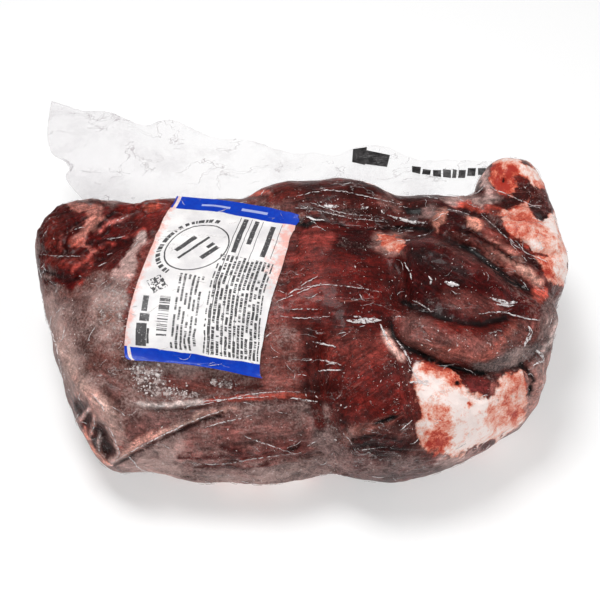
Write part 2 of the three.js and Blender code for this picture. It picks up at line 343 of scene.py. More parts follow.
def makeFlecks():
    # small separate flecks, of which Share are there
    group, given, result = newGroup(
        "flecks",
        {"Place": vectorSocket, "Scale": floatSocket, "Share": floatSocket, "Size": floatSocket},
        {"Mask": floatSocket},
    )
    wander = addNode(group, "ShaderNodeTexNoise", {0: given["Place"], 2: 900.0, 3: 2.0}).outputs[1]
    wander = addNode(group, "ShaderNodeVectorMath", {0: wander, 3: 0.0022}, operation="SCALE").outputs[0]
    place = addNode(group, "ShaderNodeVectorMath", {0: given["Place"], 1: wander}).outputs[0]
    cells = addNode(group, "ShaderNodeTexVoronoi", {"Vector": place, "Scale": given["Scale"]})
    drawn = addNode(group, "ShaderNodeSeparateColor", {0: cells.outputs["Color"]}).outputs[0]
    there = addMath(group, "LESS_THAN", drawn, given["Share"])
    edge = addMath(group, "SUBTRACT", given["Size"], cells.outputs["Distance"])
    near = addRange(group, edge, 0.0, 0.12)
    group.links.new(addMath(group, "MULTIPLY", there, near), result["Mask"])
    return group


def makeThreads():
    # thin branching lines, as of sinew or creased film
    group, given, result = newGroup(
        "threads",
        {"Place": vectorSocket, "Scale": floatSocket, "Width": floatSocket, "Share": floatSocket},
        {"Mask": floatSocket},
    )
    field = addNoise(group, given["Place"], 50.0, 3.0, 0.5)
    group.links.new(given["Scale"], field.node.inputs["Scale"])
    off = addMath(group, "ABSOLUTE", addMath(group, "SUBTRACT", field, 0.5))
    line = addMath(group, "SUBTRACT", 1.0, addMath(group, "DIVIDE", off, given["Width"]), clamp=True)
    where = addNoise(group, given["Place"], 40.0, 2.0, 0.5)
    half = addMath(group, "MULTIPLY", given["Scale"], 0.6)
    group.links.new(half, where.node.inputs["Scale"])
    gate = addMath(group, "GREATER_THAN", addMath(group, "ADD", where, given["Share"]), 1.0)
    group.links.new(addMath(group, "MULTIPLY", line, gate), result["Mask"])
    return group


groups = {
    "raggedEdge": makeRaggedEdge(),
    "frostGrain": makeFrostGrain(),
    "flecks": makeFlecks(),
    "threads": makeThreads(),
}

# The frozen meat: creases and ridges by where they run in the photograph, with half widths in pixels and
# lifts in millimetres
meatShape = {
    "cuts": 3,
    "smoothRounds": 12,
    "restsAt": 0.0009,
    "creases": {
        "underLip": {"line": [(388, 318), (392, 335), (405, 347), (430, 358), (451, 367), (476, 373), (492, 373)], "width": 4.4, "lift": -5},
        "underLipRight": {"line": [(488, 374), (504, 371), (520, 366), (545, 349)], "width": 3, "lift": -1.8},
        "throat": {"line": [(306, 320), (310, 340), (313, 360), (311, 380), (313, 402), (318, 420), (326, 440), (337, 460), (345, 475)], "width": 15, "lift": -3.0},
        "lipGroove": {"line": [(402, 301), (425, 310), (451, 319), (480, 324), (514, 314), (536, 315)], "width": 5.5, "lift": -2.6},
        "backSlit": {"line": [(305, 216), (325, 220), (345, 225), (372, 228)], "width": 2.6, "lift": -1.6},
        "backSlitRight": {"line": [(392, 227), (412, 228), (433, 229)], "width": 2.4, "lift": -2.2},
        "stripShadow": {"line": [(438, 236), (458, 243), (474, 250), (490, 262), (508, 277), (528, 291)], "width": 4.2, "lift": -3.6},
        "betweenStrips": {"line": [(458, 229), (476, 236), (492, 245), (508, 256), (524, 266)], "width": 2.8, "lift": -3.2},
        "aboveStrip": {"line": [(484, 215), (505, 234), (527, 252), (541, 272)], "width": 3, "lift": -2.4},
        "knobNeck": {"line": [(485, 196), (505, 200), (530, 200), (552, 216)], "width": 6, "lift": -4},
        "ballFold": {"line": [(506, 204), (514, 214), (522, 218), (532, 220), (540, 219), (550, 214)], "width": 3.6, "lift": -2.6},
        "ballFoldLow": {"line": [(512, 240), (526, 246), (536, 254), (548, 252), (562, 256)], "width": 3, "lift": -2.4},
        "blackSlit": {"line": [(521, 364), (528, 372), (533, 379), (531, 387), (529, 395)], "width": 3.2, "lift": -5},
        "cragFlapHigh": {"line": [(39, 250), (52, 254), (66, 252), (78, 257), (91, 255)], "width": 2.6, "lift": -1.2},
        "cragFlapLow": {"line": [(42, 271), (56, 276), (66, 281), (78, 280), (91, 276)], "width": 2.6, "lift": -1.8},
        "cragBack": {"line": [(52, 214), (64, 222), (70, 236)], "width": 2.6, "lift": -1.6},
        "cragDiagonal": {"line": [(98, 206), (100, 220), (92, 232)], "width": 3, "lift": -2.2},
        "cragSplitA": {"line": [(112, 210), (108, 222), (112, 232)], "width": 2.4, "lift": -1.8},
        "cragSplitB": {"line": [(130, 206), (146, 212), (158, 206)], "width": 2.4, "lift": -1.6},
        "cragSplitC": {"line": [(42, 236), (52, 240), (64, 238), (74, 246)], "width": 2.2, "lift": -1.0},
        "ropeShadow": {"line": [(96, 262), (118, 248), (140, 240), (160, 232)], "width": 3, "lift": -1.8},
        "ropeAbove": {"line": [(98, 238), (116, 226), (140, 217), (168, 202)], "width": 2.6, "lift": -1.8},
        "underSalmonRidge": {"line": [(116, 466), (141, 451), (162, 440), (183, 430), (204, 421), (224, 415)], "width": 3, "lift": -2.2},
        "slabPocketHigh": {"line": [(75, 401), (79, 406), (82, 413)], "width": 6.5, "lift": -2},
        "slabPocketMiddle": {"line": [(83, 420), (90, 421)], "width": 6, "lift": -2},
        "slabPocketLow": {"line": [(96, 438), (101, 429), (106, 438), (108, 450), (103, 455)], "width": 8, "lift": -2.6},
        "wrinkleHigh": {"line": [(346, 442), (362, 437), (380, 436), (402, 442), (418, 446)], "width": 2.2, "lift": -1.3},
        "wrinkleMiddle": {"line": [(344, 450), (364, 445), (385, 446), (408, 452)], "width": 2.2, "lift": -1.3},
        "wrinkleLow": {"line": [(348, 458), (372, 452), (392, 456)], "width": 2.2, "lift": -1.1},
        "darkCavity": {"line": [(376, 424), (386, 420), (396, 417)], "width": 2.6, "lift": -2.4},
        "wrinkleLowest": {"line": [(348, 458), (380, 457), (414, 463)], "width": 2.2, "lift": -0.9},
        "rollWrinkleA": {"line": [(128, 437), (160, 436), (190, 441), (218, 439)], "width": 2.6, "lift": -1.0},
        "rollWrinkleB": {"line": [(150, 448), (185, 451), (225, 446), (262, 441), (310, 436)], "width": 3, "lift": -1.3},
        "rollWrinkleC": {"line": [(176, 462), (215, 463), (250, 457), (298, 449), (322, 446)], "width": 2.6, "lift": -1.2},
        "rollWrinkleD": {"line": [(205, 427), (240, 424), (275, 427), (305, 424)], "width": 2.6, "lift": -1.0},
        "rollWrinkleE": {"line": [(230, 472), (270, 468), (318, 460)], "width": 2.6, "lift": -0.9},
        "underLongRidge": {"line": [(150, 411), (200, 408), (240, 405), (300, 403), (340, 409)], "width": 2.6, "lift": -0.8},
        "besideFatPad": {"line": [(411, 366), (409, 392), (412, 420), (418, 444)], "width": 3, "lift": -1.4},
        "fatPadFold": {"line": [(462, 398), (472, 408), (474, 424), (470, 440)], "width": 3, "lift": -1.3},
        "insertEdge": {"line": [(460, 379), (466, 392), (478, 399), (492, 396)], "width": 2.6, "lift": -1.8},
        "fatPadHole": {"line": [(457, 383)], "width": 3.4, "lift": -4},
        "knobHole": {"line": [(503, 181)], "width": 2.8, "lift": -4},
        "centreFold": {"line": [(395, 258), (402, 275), (406, 296)], "width": 4, "lift": -1.6},
        "labelRight": {"line": [(304, 214), (298, 240), (290, 270), (282, 300)], "width": 4, "lift": -1.2},
        "slabCross": {"line": [(60, 300), (84, 318), (112, 334), (126, 352)], "width": 5, "lift": -0.9},
        "slabCrossLow": {"line": [(72, 350), (96, 372), (124, 388)], "width": 5, "lift": -0.8},
        "lipCrossA": {"line": [(428, 330), (452, 338), (480, 343)], "width": 2.4, "lift": -1.0},
        "lipCrossB": {"line": [(498, 332), (520, 326), (540, 328)], "width": 2.4, "lift": -1.0},
        "ballFoldLowest": {"line": [(526, 262), (540, 268), (552, 276), (562, 280)], "width": 2.6, "lift": -1.8},
        "padFold": {"line": [(424, 380), (440, 392), (456, 400), (466, 416)], "width": 3, "lift": -1.0},
        "rightRim": {"line": [(524, 372), (520, 396), (512, 420)], "width": 3, "lift": -1.6},
    },
    "ridges": {
        "salmonRidge": {"line": [(112, 461), (130, 450), (155, 436), (180, 424), (203, 414), (228, 407)], "width": 5.5, "lift": 1.6},
        "rollFold": {"line": [(204, 428), (238, 419), (257, 413)], "width": 3, "lift": 1.2},
        "rollFoldLow": {"line": [(244, 436), (268, 445), (296, 454)], "width": 2.4, "lift": 1.0},
        "longRidge": {"line": [(130, 402), (150, 405), (171, 405), (204, 401), (227, 397), (262, 396), (295, 395), (330, 399), (345, 403)], "width": 3.4, "lift": 2.6},
        "rope": {"line": [(93, 250), (110, 243), (128, 236), (150, 224)], "width": 3, "lift": 1.2},
        "ropeLow": {"line": [(99, 256), (120, 243), (146, 232)], "width": 2.6, "lift": 1.6},
        "cragStrandA": {"line": [(96, 214), (86, 228), (76, 236), (70, 246)], "width": 4, "lift": 2.0},
        "cragStrandB": {"line": [(62, 232), (60, 248)], "width": 2.6, "lift": 1.4},
        "cragStrandC": {"line": [(44, 262), (66, 266), (88, 264)], "width": 3.4, "lift": 1.8},
        "slabRidge": {"line": [(54, 340), (64, 361), (77, 383), (95, 399), (114, 414), (124, 430), (130, 446)], "width": 5, "lift": 1.8},
        "pocketStrandA": {"line": [(75, 422), (86, 414), (89, 409)], "width": 2, "lift": 2.2},
        "pocketStrandB": {"line": [(101, 433), (99, 442), (99, 451), (103, 456)], "width": 1.8, "lift": 2.4},
        "pocketStrandC": {"line": [(94, 417), (94, 426), (90, 434)], "width": 2.2, "lift": 2.2},
        "pocketRim": {"line": [(84, 434), (86, 443), (96, 452), (108, 464)], "width": 3, "lift": 1.6},
        "stripHigh": {"line": [(466, 221), (484, 229), (504, 241), (526, 257)], "width": 4.4, "lift": 2.8},
        "stripLow": {"line": [(456, 233), (478, 241), (500, 254), (524, 270), (540, 284)], "width": 6.0, "lift": 3.6},
        "lip": {"line": [(398, 330), (412, 342), (440, 351), (480, 360), (515, 353), (540, 338)], "width": 6, "lift": 2.0},
        "filmFold": {"line": [(450, 190), (466, 198), (480, 205), (492, 209)], "width": 3, "lift": 2.2},
        "ballBulge": {"line": [(520, 222), (530, 232)], "width": 12, "lift": 2.0},
        "ballBulgeRight": {"line": [(552, 226), (556, 246)], "width": 9, "lift": 1.6},
        "rimBulge": {"line": [(548, 272), (556, 285)], "width": 8, "lift": 1.4},
        "fatPadBulge": {"line": [(432, 392), (446, 408), (450, 424)], "width": 14, "lift": 2.4},
        "fatPadBulgeRight": {"line": [(484, 404), (480, 420)], "width": 8, "lift": 1.6},
        "salmonBulge": {"line": [(508, 384), (504, 410)], "width": 9, "lift": 1.8},
        "wrinkleRidge": {"line": [(332, 435), (360, 432), (390, 438), (412, 445)], "width": 2, "lift": 0.9},
        "orangeKnot": {"line": [(380, 240), (400, 244)], "width": 8, "lift": 1.8},
        "paleStrip": {"line": [(142, 232), (136, 246), (130, 260)], "width": 5, "lift": 0.8},
    },
    # places where the film pulls the meat in: a centre, a reach and a move, all in metres
    "pulls": {
        "padRight": {"centre": (0.162, -0.100, 0.055), "reach": 0.046, "move": (0.003, -0.002, -0.001)},
        "rightFold": {"centre": (0.171, -0.064, 0.107), "reach": 0.031, "move": (0.006, 0.001, 0.001)},
        "rightFoldLow": {"centre": (0.178, -0.092, 0.088), "reach": 0.026, "move": (-0.007, 0.0, 0.0)},
    },
    # relief of the whole surface: lumps' size, height in millimetres, and stretch along X, Y and Z
    "relief": {
        "swells": {"size": 0.034, "height": 1.5, "stretch": (1.4, 1, 1)},
        "lumps": {"size": 0.013, "height": 0.75, "stretch": (1.3, 1, 1)},
        "pimples": {"size": 0.0055, "height": 0.32, "stretch": (1, 1, 1)},
    },
    # torn, stringy parts: an outline in the photograph, the strands' thickness and height in millimetres, and
    # how they run
    "ragged": {
        "crag": {"outline": [(36, 214), (60, 202), (98, 200), (112, 206), (146, 203), (158, 200), (152, 220), (140, 230), (118, 250), (92, 268), (75, 282), (38, 288)], "size": 0.0052, "height": 1.9, "along": (0.8, 0.55, 0.2)},
        "neck": {"outline": [(450, 188), (484, 184), (552, 196), (556, 216), (520, 214), (500, 222), (470, 212)], "size": 0.005, "height": 1.3, "along": (0.9, -0.3, 0.1)},
        "backFold": {"outline": [(436, 214), (470, 212), (506, 222), (536, 250), (548, 290), (520, 292), (484, 262), (450, 240)], "size": 0.005, "height": 1.0, "along": (0.75, -0.6, -0.2)},
        "lipSide": {"outline": [(404, 318), (470, 332), (540, 322), (552, 340), (500, 366), (440, 356), (404, 344)], "size": 0.0055, "height": 0.9, "along": (0.95, -0.25, 0.0)},
        "rightFold": {"outline": [(524, 300), (562, 292), (556, 340), (540, 400), (520, 420), (524, 360)], "size": 0.005, "height": 1.0, "along": (0.3, 0.5, 0.8)},
        "roll": {"outline": [(120, 462), (226, 412), (320, 402), (345, 476), (240, 488), (150, 474)], "size": 0.0075, "height": 1.7, "along": (1.0, 0.0, 0.12)},
        "frontRound": {"outline": [(322, 420), (420, 430), (440, 470), (345, 478)], "size": 0.0065, "height": 1.3, "along": (0.95, -0.3, 0.1)},
    },
}


def pressLines(x, y, seen, lines):
    # how far each vertex moves, in metres
    lift = np.zeros(len(x))
    for feature in lines.values():
        gap, along = lineDistance(x, y, feature["line"])
        ends = np.clip(np.minimum(along, 1 - along) * 8 + 0.25, 0, 1) if len(feature["line"]) > 1 else 1
        near = np.clip(1 - gap / (feature["width"] * 1.6), 0, 1)
        lift += feature["lift"] * 0.001 * near**2 * (3 - 2 * near) * ends
    return lift * seen


def strands(points, along, size, seed):
    # sharp crests and hollows, drawn out along the fibres, from -1 to 1
    along = np.array(along) / np.linalg.norm(along)
    across = np.cross(along, (0, 0, 1))
    across /= np.linalg.norm(across)
    axes = np.stack([along * 0.26, across, np.cross(along, across)], 1)
    bent = points + 0.5 * size * np.stack([lumps(points, size * 2.2, 2, seed + k) for k in range(3)], 1)
    crests = 1 - 2.6 * np.abs(lumps(bent @ axes, size, 3, seed))
    return np.clip(crests, -1, 1)


def facingCamera(points, normals):
    eye = pictureAxes()[0]
    towards = eye - points
    towards /= np.linalg.norm(towards, axis=1)[:, None]
    return (normals * towards).sum(1)


def shapeMeat():
    piece = copyNode("meat", "frozenMeat")
    subdivide(piece, meatShape["cuts"])
    soften = piece.modifiers.new("soften", "SMOOTH")
    soften.iterations = meatShape["smoothRounds"]
    soften.factor = 0.5
    applyModifiers(piece)
    for name in ("creases", "ridges"):
        points, normals = readPoints(piece), readNormals(piece)
        x, y = photoPlace(points)
        wander = lumps(points, 0.012, 2, 3.0) * 2.0
        seen = smoothStep(0.05, 0.3, facingCamera(points, normals))
        lift = pressLines(x + wander, y - wander, seen, meatShape[name])
        writePoints(piece, points + normals * lift[:, None])
    points = readPoints(piece)
    for pull in meatShape["pulls"].values():
        gap = np.linalg.norm(points - np.array(pull["centre"]), axis=1)
        points += np.outer(smoothStep(pull["reach"], 0.0, gap), pull["move"])
    writePoints(piece, points)
    points, normals = readPoints(piece), readNormals(piece)
    lift = np.zeros(len(points))
    for seed, relief in enumerate(meatShape["relief"].values()):
        lift += lumps(points, relief["size"], 2, seed + 1.0, relief["stretch"]) * relief["height"] * 0.001
    x, y = photoPlace(points)
    seen = smoothStep(0.05, 0.3, facingCamera(points, normals))
    for seed, torn in enumerate(meatShape["ragged"].values()):
        share = smoothStep(-6, 6, insideDistance(x, y, torn["outline"])) * seen
        lift += strands(points, torn["along"], torn["size"], seed + 5.0) * torn["height"] * 0.001 * share
    points += normals * lift[:, None]
    points[:, 2] = np.maximum(points[:, 2], meatShape["restsAt"])
    writePoints(piece, points)
    soften = piece.modifiers.new("soften", "SMOOTH")
    soften.iterations = 1
    soften.factor = 0.3
    applyModifiers(piece)
    points = readPoints(piece)
    points[:, 2] = np.maximum(points[:, 2], meatShape["restsAt"])
    writePoints(piece, points)
    return piece


# Colours of the meat as a viewer sees them, from 0 to 255, and where each lies in the photograph: an outline
# or a line, how soft its edge is in pixels, and how frosty it is
meatPaint = {
    "gain": (0.63, 0.86),
    "filmLight": 0.011,
    "patches": {
        "backStrip": {"outline": [(270, 182), (335, 178), (405, 192), (452, 190), (470, 205), (440, 228), (400, 230), (345, 226), (305, 216)], "colour": (74, 38, 36), "soft": 5, "frost": 0.1},
        "backStripGrey": {"outline": [(370, 192), (392, 194), (402, 206), (396, 214), (378, 206)], "colour": (124, 82, 77), "soft": 3, "frost": 0.25},
        "centre": {"outline": [(300, 214), (345, 224), (400, 229), (408, 300), (392, 320), (392, 345), (408, 366), (400, 425), (330, 430), (308, 400), (296, 330), (282, 300)], "colour": (92, 37, 35), "soft": 7, "frost": 0.05},
        "centreHaze": {"outline": [(284, 240), (318, 250), (332, 290), (320, 340), (300, 380), (272, 380), (262, 340), (280, 300)], "colour": (118, 54, 50), "soft": 12, "frost": 0.07},
        # painted shade along the throat's valley
        "centreShade": {"outline": [(304, 306), (322, 304), (328, 380), (326, 430), (312, 420), (304, 360)], "colour": (80, 32, 30), "soft": 8, "frost": 0.0},
        "redOval": {"outline": [(300, 230), (314, 226), (332, 230), (337, 240), (328, 247), (310, 249), (299, 243)], "colour": (142, 64, 59), "soft": 3, "frost": 0.15},
        "knotDark": {"outline": [(340, 232), (372, 233), (376, 248), (364, 258), (350, 252), (340, 244)], "colour": (62, 29, 30), "soft": 3.5, "frost": 0.15},
        "knotHalo": {"outline": [(372, 240), (380, 231), (396, 229), (410, 236), (414, 248), (404, 256), (388, 256), (376, 250)], "colour": (156, 116, 109), "soft": 3, "frost": 0.35},
        "underLabel": {"outline": [(150, 372), (262, 384), (300, 378), (300, 396), (226, 396), (160, 396), (132, 384)], "colour": (118, 66, 61), "soft": 7, "frost": 0.25},
        "rightOfLabel": {"outline": [(266, 318), (286, 322), (300, 330), (303, 352), (300, 384), (268, 386), (256, 378), (258, 344)], "colour": (136, 82, 76), "soft": 8, "frost": 0.35},
        "slab": {"outline": [(38, 288), (75, 283), (92, 272), (122, 262), (150, 226), (176, 222), (150, 290), (128, 350), (132, 366), (182, 388), (226, 396), (225, 412), (190, 426), (155, 440), (109, 463), (84, 440), (66, 392)], "colour": (124, 82, 76), "soft": 6, "frost": 0.48},
        "slabLeft": {"outline": [(42, 300), (58, 300), (74, 350), (92, 390), (80, 400), (62, 370), (48, 330)], "colour": (176, 140, 132), "soft": 8, "frost": 0.8},
        "slabSalmon": {"outline": [(54, 336), (68, 342), (84, 380), (112, 406), (126, 438), (118, 444), (98, 414), (76, 394)], "colour": (192, 156, 146), "soft": 7, "frost": 0.5},
        "slabBrown": {"outline": [(98, 368), (116, 372), (126, 386), (118, 398), (104, 394)], "colour": (132, 92, 87), "soft": 7, "frost": 0.35},
        "slabRedSpot": {"outline": [(57, 274), (70, 272), (79, 280), (73, 287), (60, 285)], "colour": (82, 22, 22), "soft": 3, "frost": 0.0},
        "slabTop": {"outline": [(90, 290), (120, 284), (134, 292), (124, 330), (104, 336), (88, 312)], "colour": (152, 116, 110), "soft": 8, "frost": 0.75},
        "besideLabel": {"outline": [(133, 276), (140, 284), (134, 316), (128, 344), (121, 344), (126, 310)], "colour": (118, 62, 58), "soft": 3, "frost": 0.15},
        "crag": {"outline": [(36, 214), (60, 202), (98, 200), (110, 206), (150, 202), (180, 198), (176, 222), (148, 292), (136, 292), (130, 262), (112, 270), (92, 273), (75, 283), (38, 288)], "colour": (86, 33, 31), "soft": 3, "frost": 0.05},
        "besideStrip": {"outline": [(146, 236), (176, 222), (162, 262), (148, 290), (134, 302), (132, 272), (138, 252)], "colour": (116, 60, 55), "soft": 4, "frost": 0.2},
        "cragBlack": {"outline": [(42, 222), (56, 212), (66, 216), (66, 236), (58, 250), (42, 248)], "colour": (90, 38, 35), "soft": 4, "frost": 0.05},
        "cragLow": {"outline": [(42, 256), (90, 257), (90, 266), (74, 270), (60, 270), (42, 266)], "colour": (104, 47, 43), "soft": 3, "frost": 0.1},
        "cragShelf": {"outline": [(41, 270), (58, 271), (58, 279), (42, 280)], "colour": (110, 82, 78), "soft": 2.5, "frost": 0.35},
        "cragTop": {"outline": [(68, 203), (84, 202), (99, 205), (100, 212), (84, 212), (70, 209)], "colour": (176, 118, 108), "soft": 2.2, "frost": 0.2},
        "roll": {"outline": [(110, 464), (155, 440), (190, 424), (226, 409), (300, 402), (345, 405), (322, 428), (332, 452), (346, 478), (290, 480), (240, 490), (185, 488), (125, 468)], "colour": (124, 92, 88), "soft": 6, "frost": 0.6},
        "rollLeft": {"outline": [(118, 464), (150, 448), (180, 440), (190, 455), (180, 482), (140, 474)], "colour": (190, 158, 152), "soft": 10, "frost": 0.7},
        "rollBrown": {"outline": [(186, 430), (230, 414), (310, 410), (318, 440), (300, 462), (236, 468), (180, 462)], "colour": (138, 92, 87), "soft": 10, "frost": 0.35},
        "rollRed": {"outline": [(232, 450), (270, 444), (306, 440), (310, 452), (270, 460), (236, 462)], "colour": (116, 64, 60), "soft": 7, "frost": 0.25},
        "rollPale": {"outline": [(200, 474), (260, 468), (330, 462), (344, 478), (290, 482), (210, 488)], "colour": (158, 132, 128), "soft": 7, "frost": 0.7},
        "betweenRidges": {"outline": [(128, 408), (200, 410), (222, 406), (200, 416), (178, 423), (150, 432), (128, 440)], "colour": (128, 92, 88), "soft": 4, "frost": 0.35},
        "frontRound": {"outline": [(318, 425), (345, 420), (420, 430), (424, 450), (440, 470), (390, 482), (345, 478), (326, 450)], "colour": (112, 72, 68), "soft": 14, "frost": 0.3},
        "frontRoundDark": {"outline": [(350, 436), (380, 434), (412, 440), (410, 454), (380, 457), (354, 450)], "colour": (74, 36, 35), "soft": 6, "frost": 0.05},
        "frontSweep": {"outline": [(340, 440), (348, 426), (366, 420), (392, 418), (394, 424), (372, 430), (354, 438), (344, 446)], "colour": (140, 94, 86), "soft": 5, "frost": 0.3},
        "seamGrey": {"outline": [(386, 354), (398, 356), (410, 370), (408, 386), (392, 390), (384, 372)], "colour": (112, 80, 76), "soft": 4, "frost": 0.4},
        "frontRoundPale": {"outline": [(334, 456), (360, 460), (420, 458), (440, 472), (390, 484), (345, 480)], "colour": (118, 92, 91), "soft": 6, "frost": 0.4},
        "roundVeil": {"outline": [(306, 402), (316, 408), (326, 426), (340, 446), (356, 460), (346, 474), (328, 462), (313, 438)], "colour": (148, 118, 115), "soft": 4, "frost": 0.55},
        "roundRed": {"outline": [(320, 330), (386, 330), (408, 366), (404, 420), (340, 424), (318, 380)], "colour": (102, 42, 39), "soft": 10, "frost": 0.08},
        "roundRedHigh": {"outline": [(326, 332), (384, 334), (398, 354), (372, 366), (328, 362)], "colour": (124, 58, 53), "soft": 9, "frost": 0.12},
        "roundTop": {"outline": [(404, 232), (436, 228), (470, 250), (512, 290), (545, 308), (520, 316), (480, 326), (450, 320), (404, 300)], "colour": (80, 32, 31), "soft": 6, "frost": 0.08},
        "roundGrey": {"outline": [(420, 230), (440, 236), (470, 251), (504, 272), (512, 284), (496, 278), (466, 262), (436, 246)], "colour": (86, 52, 50), "soft": 5, "frost": 0.12},
        "roundDark": {"outline": [(412, 250), (440, 250), (464, 268), (470, 286), (450, 294), (416, 288)], "colour": (62, 22, 21), "soft": 7, "frost": 0.0},
        "roundLit": {"outline": [(440, 292), (472, 292), (510, 306), (498, 316), (466, 314), (440, 306)], "colour": (118, 66, 62), "soft": 6, "frost": 0.2},
        "roundLow": {"outline": [(412, 298), (440, 304), (470, 316), (466, 322), (432, 314)], "colour": (72, 28, 27), "soft": 4, "frost": 0.05},
        "lipPink": {"outline": [(396, 312), (452, 324), (482, 330), (526, 320), (552, 318), (556, 336), (530, 358), (486, 366), (440, 358), (404, 344)], "colour": (124, 80, 75), "soft": 5, "frost": 0.2},
        "lipRed": {"outline": [(430, 318), (470, 322), (520, 316), (524, 330), (480, 338), (440, 332)], "colour": (110, 44, 40), "soft": 6, "frost": 0.1},
        "lipSalmon": {"outline": [(410, 340), (440, 346), (476, 352), (500, 342), (512, 330), (518, 334), (508, 350), (490, 360), (440, 356)], "colour": (140, 84, 76), "soft": 4, "frost": 0.2},
        "lipDull": {"outline": [(516, 326), (544, 318), (540, 340), (512, 354)], "colour": (124, 76, 71), "soft": 4, "frost": 0.25},
        "lipOrange": {"outline": [(511, 322), (520, 322), (515, 336), (504, 348), (488, 358), (474, 363), (470, 357), (484, 350), (498, 340)], "colour": (156, 86, 76), "soft": 5, "frost": 0.15},
        "lipGreyEdge": {"outline": [(470, 362), (500, 358), (534, 346), (556, 332), (552, 348), (520, 366), (484, 373)], "colour": (104, 90, 89), "soft": 3, "frost": 0.5},
        "rightFoldGrey": {"outline": [(546, 300), (562, 296), (562, 330), (550, 350), (538, 344), (540, 320)], "colour": (120, 92, 89), "soft": 4, "frost": 0.45},
        # painted shade in the crease at the knob's neck
        "knobNeckShade": {"outline": [(514, 178), (530, 180), (540, 190), (545, 200), (543, 213), (532, 217), (530, 203), (516, 200), (500, 208), (488, 208), (498, 200), (512, 193)], "colour": (84, 38, 36), "soft": 3, "frost": 0.1},
        "backFoldDark": {"outline": [(440, 192), (478, 206), (486, 224), (520, 258), (545, 290), (528, 296), (490, 262), (460, 236), (436, 222)], "colour": (70, 26, 24), "soft": 5, "frost": 0.05},
        "rightOfPad": {"outline": [(526, 368), (552, 350), (554, 380), (540, 408), (516, 432), (522, 410)], "colour": (176, 130, 122), "soft": 4, "frost": 0.4},
        "padUnderside": {"outline": [(440, 454), (460, 458), (486, 450), (510, 436), (526, 418), (530, 424), (500, 448), (470, 464), (436, 468)], "colour": (176, 146, 141), "soft": 4, "frost": 0.5},
        # darker inside the film's pockets: partly the meat's own colour, partly painted shade of the recesses
        "slabPockets": {"outline": [(70, 398), (78, 396), (86, 403), (86, 411), (78, 417), (71, 412)], "colour": (96, 58, 54), "soft": 2.2, "frost": 0.12},
        "slabPocketsHigh": {"outline": [(77, 419), (88, 413), (95, 416), (95, 426), (88, 431), (79, 428)], "colour": (92, 52, 49), "soft": 2.2, "frost": 0.05},
        "slabPocketsMiddle": {"outline": [(90, 438), (95, 429), (99, 422), (104, 424), (109, 430), (113, 439), (115, 449), (113, 457), (107, 462), (101, 459), (94, 450)], "colour": (84, 46, 43), "soft": 2.2, "frost": 0.05},
        "slabPocketsLow": {"outline": [(73, 400), (78, 400), (81, 407), (77, 411)], "colour": (62, 34, 32), "soft": 2.2, "frost": 0.0},
        "slabPocketsLowest": {"outline": [(103, 430), (108, 434), (112, 445), (110, 455), (104, 452), (102, 440)], "colour": (62, 34, 32), "soft": 2.2, "frost": 0.0},
        "redSpotLow": {"outline": [(118, 442), (124, 441), (126, 449), (121, 453)], "colour": (138, 66, 60), "soft": 2.4, "frost": 0.05},
        "insertPink": {"outline": [(488, 381), (500, 378), (503, 390), (496, 399), (488, 396)], "colour": (166, 98, 90), "soft": 3, "frost": 0.15},
        "insert": {"outline": [(463, 378), (476, 378), (490, 380), (490, 398), (480, 398), (469, 392)], "colour": (112, 50, 49), "soft": 3, "frost": 0.1},
        "salmonRidge": {"outline": [(112, 459), (119, 455), (124, 445), (151, 436), (171, 427), (196, 416), (222, 408), (240, 405), (236, 408), (221, 412), (204, 418), (183, 427), (162, 437), (141, 448), (122, 458), (110, 465)], "colour": (206, 166, 154), "soft": 2.2, "frost": 0.3},
        "salmonRidgeLow": {"outline": [(120, 454), (125, 446), (150, 437), (160, 434), (158, 438), (140, 447), (124, 456)], "colour": (198, 154, 142), "soft": 3, "frost": 0.15},
        "cragFlesh": {"outline": [(87, 214), (99, 212), (104, 219), (97, 227), (86, 235), (80, 243), (72, 241), (80, 230)], "colour": (182, 120, 108), "soft": 2.2, "frost": 0.1},
        "cragSalmon": {"outline": [(72, 238), (84, 236), (90, 242), (82, 247), (70, 246)], "colour": (190, 98, 84), "soft": 2, "frost": 0.1},
        "cragRed": {"outline": [(118, 206), (150, 199), (178, 197), (174, 214), (160, 226), (140, 224), (122, 216)], "colour": (126, 46, 42), "soft": 4, "frost": 0.05},
        "cragOrange": {"outline": [(142, 203), (160, 201), (164, 208), (148, 211)], "colour": (172, 80, 66), "soft": 2.4, "frost": 0.05},
        "paleStrip": {"outline": [(140, 229), (147, 231), (144, 245), (138, 256), (135, 270), (131, 286), (122, 285), (114, 277), (114, 269), (124, 261), (130, 250), (135, 240)], "colour": (194, 160, 154), "soft": 2.0, "frost": 0.4},
        "paleStripTop": {"outline": [(140, 230), (146, 231), (144, 240), (137, 243)], "colour": (224, 204, 198), "soft": 2.0, "frost": 0.4},
        "stripHigh": {"outline": [(466, 218), (480, 219), (498, 233), (514, 246), (526, 256), (522, 259), (506, 252), (488, 243), (472, 231)], "colour": (126, 66, 60), "soft": 2.4, "frost": 0.1},
        "stripHighEnd": {"outline": [(466, 217), (478, 218), (484, 226), (479, 232), (471, 229)], "colour": (204, 138, 120), "soft": 2.0, "frost": 0.1},
        "stripHighLow": {"outline": [(500, 242), (512, 246), (524, 256), (520, 259), (508, 253)], "colour": (158, 98, 88), "soft": 2.4, "frost": 0.15},
        "stripLow": {"outline": [(482, 243), (494, 246), (514, 256), (528, 267), (541, 280), (543, 290), (532, 288), (516, 277), (500, 265), (486, 254)], "colour": (150, 92, 83), "soft": 2.2, "frost": 0.2},
        "stripLowStart": {"outline": [(452, 234), (468, 234), (484, 244), (490, 252), (482, 252), (466, 243)], "colour": (118, 66, 61), "soft": 3, "frost": 0.2},
        "stripLowEnd": {"outline": [(518, 262), (530, 268), (541, 280), (541, 290), (532, 286), (522, 274)], "colour": (202, 156, 142), "soft": 2.6, "frost": 0.25},
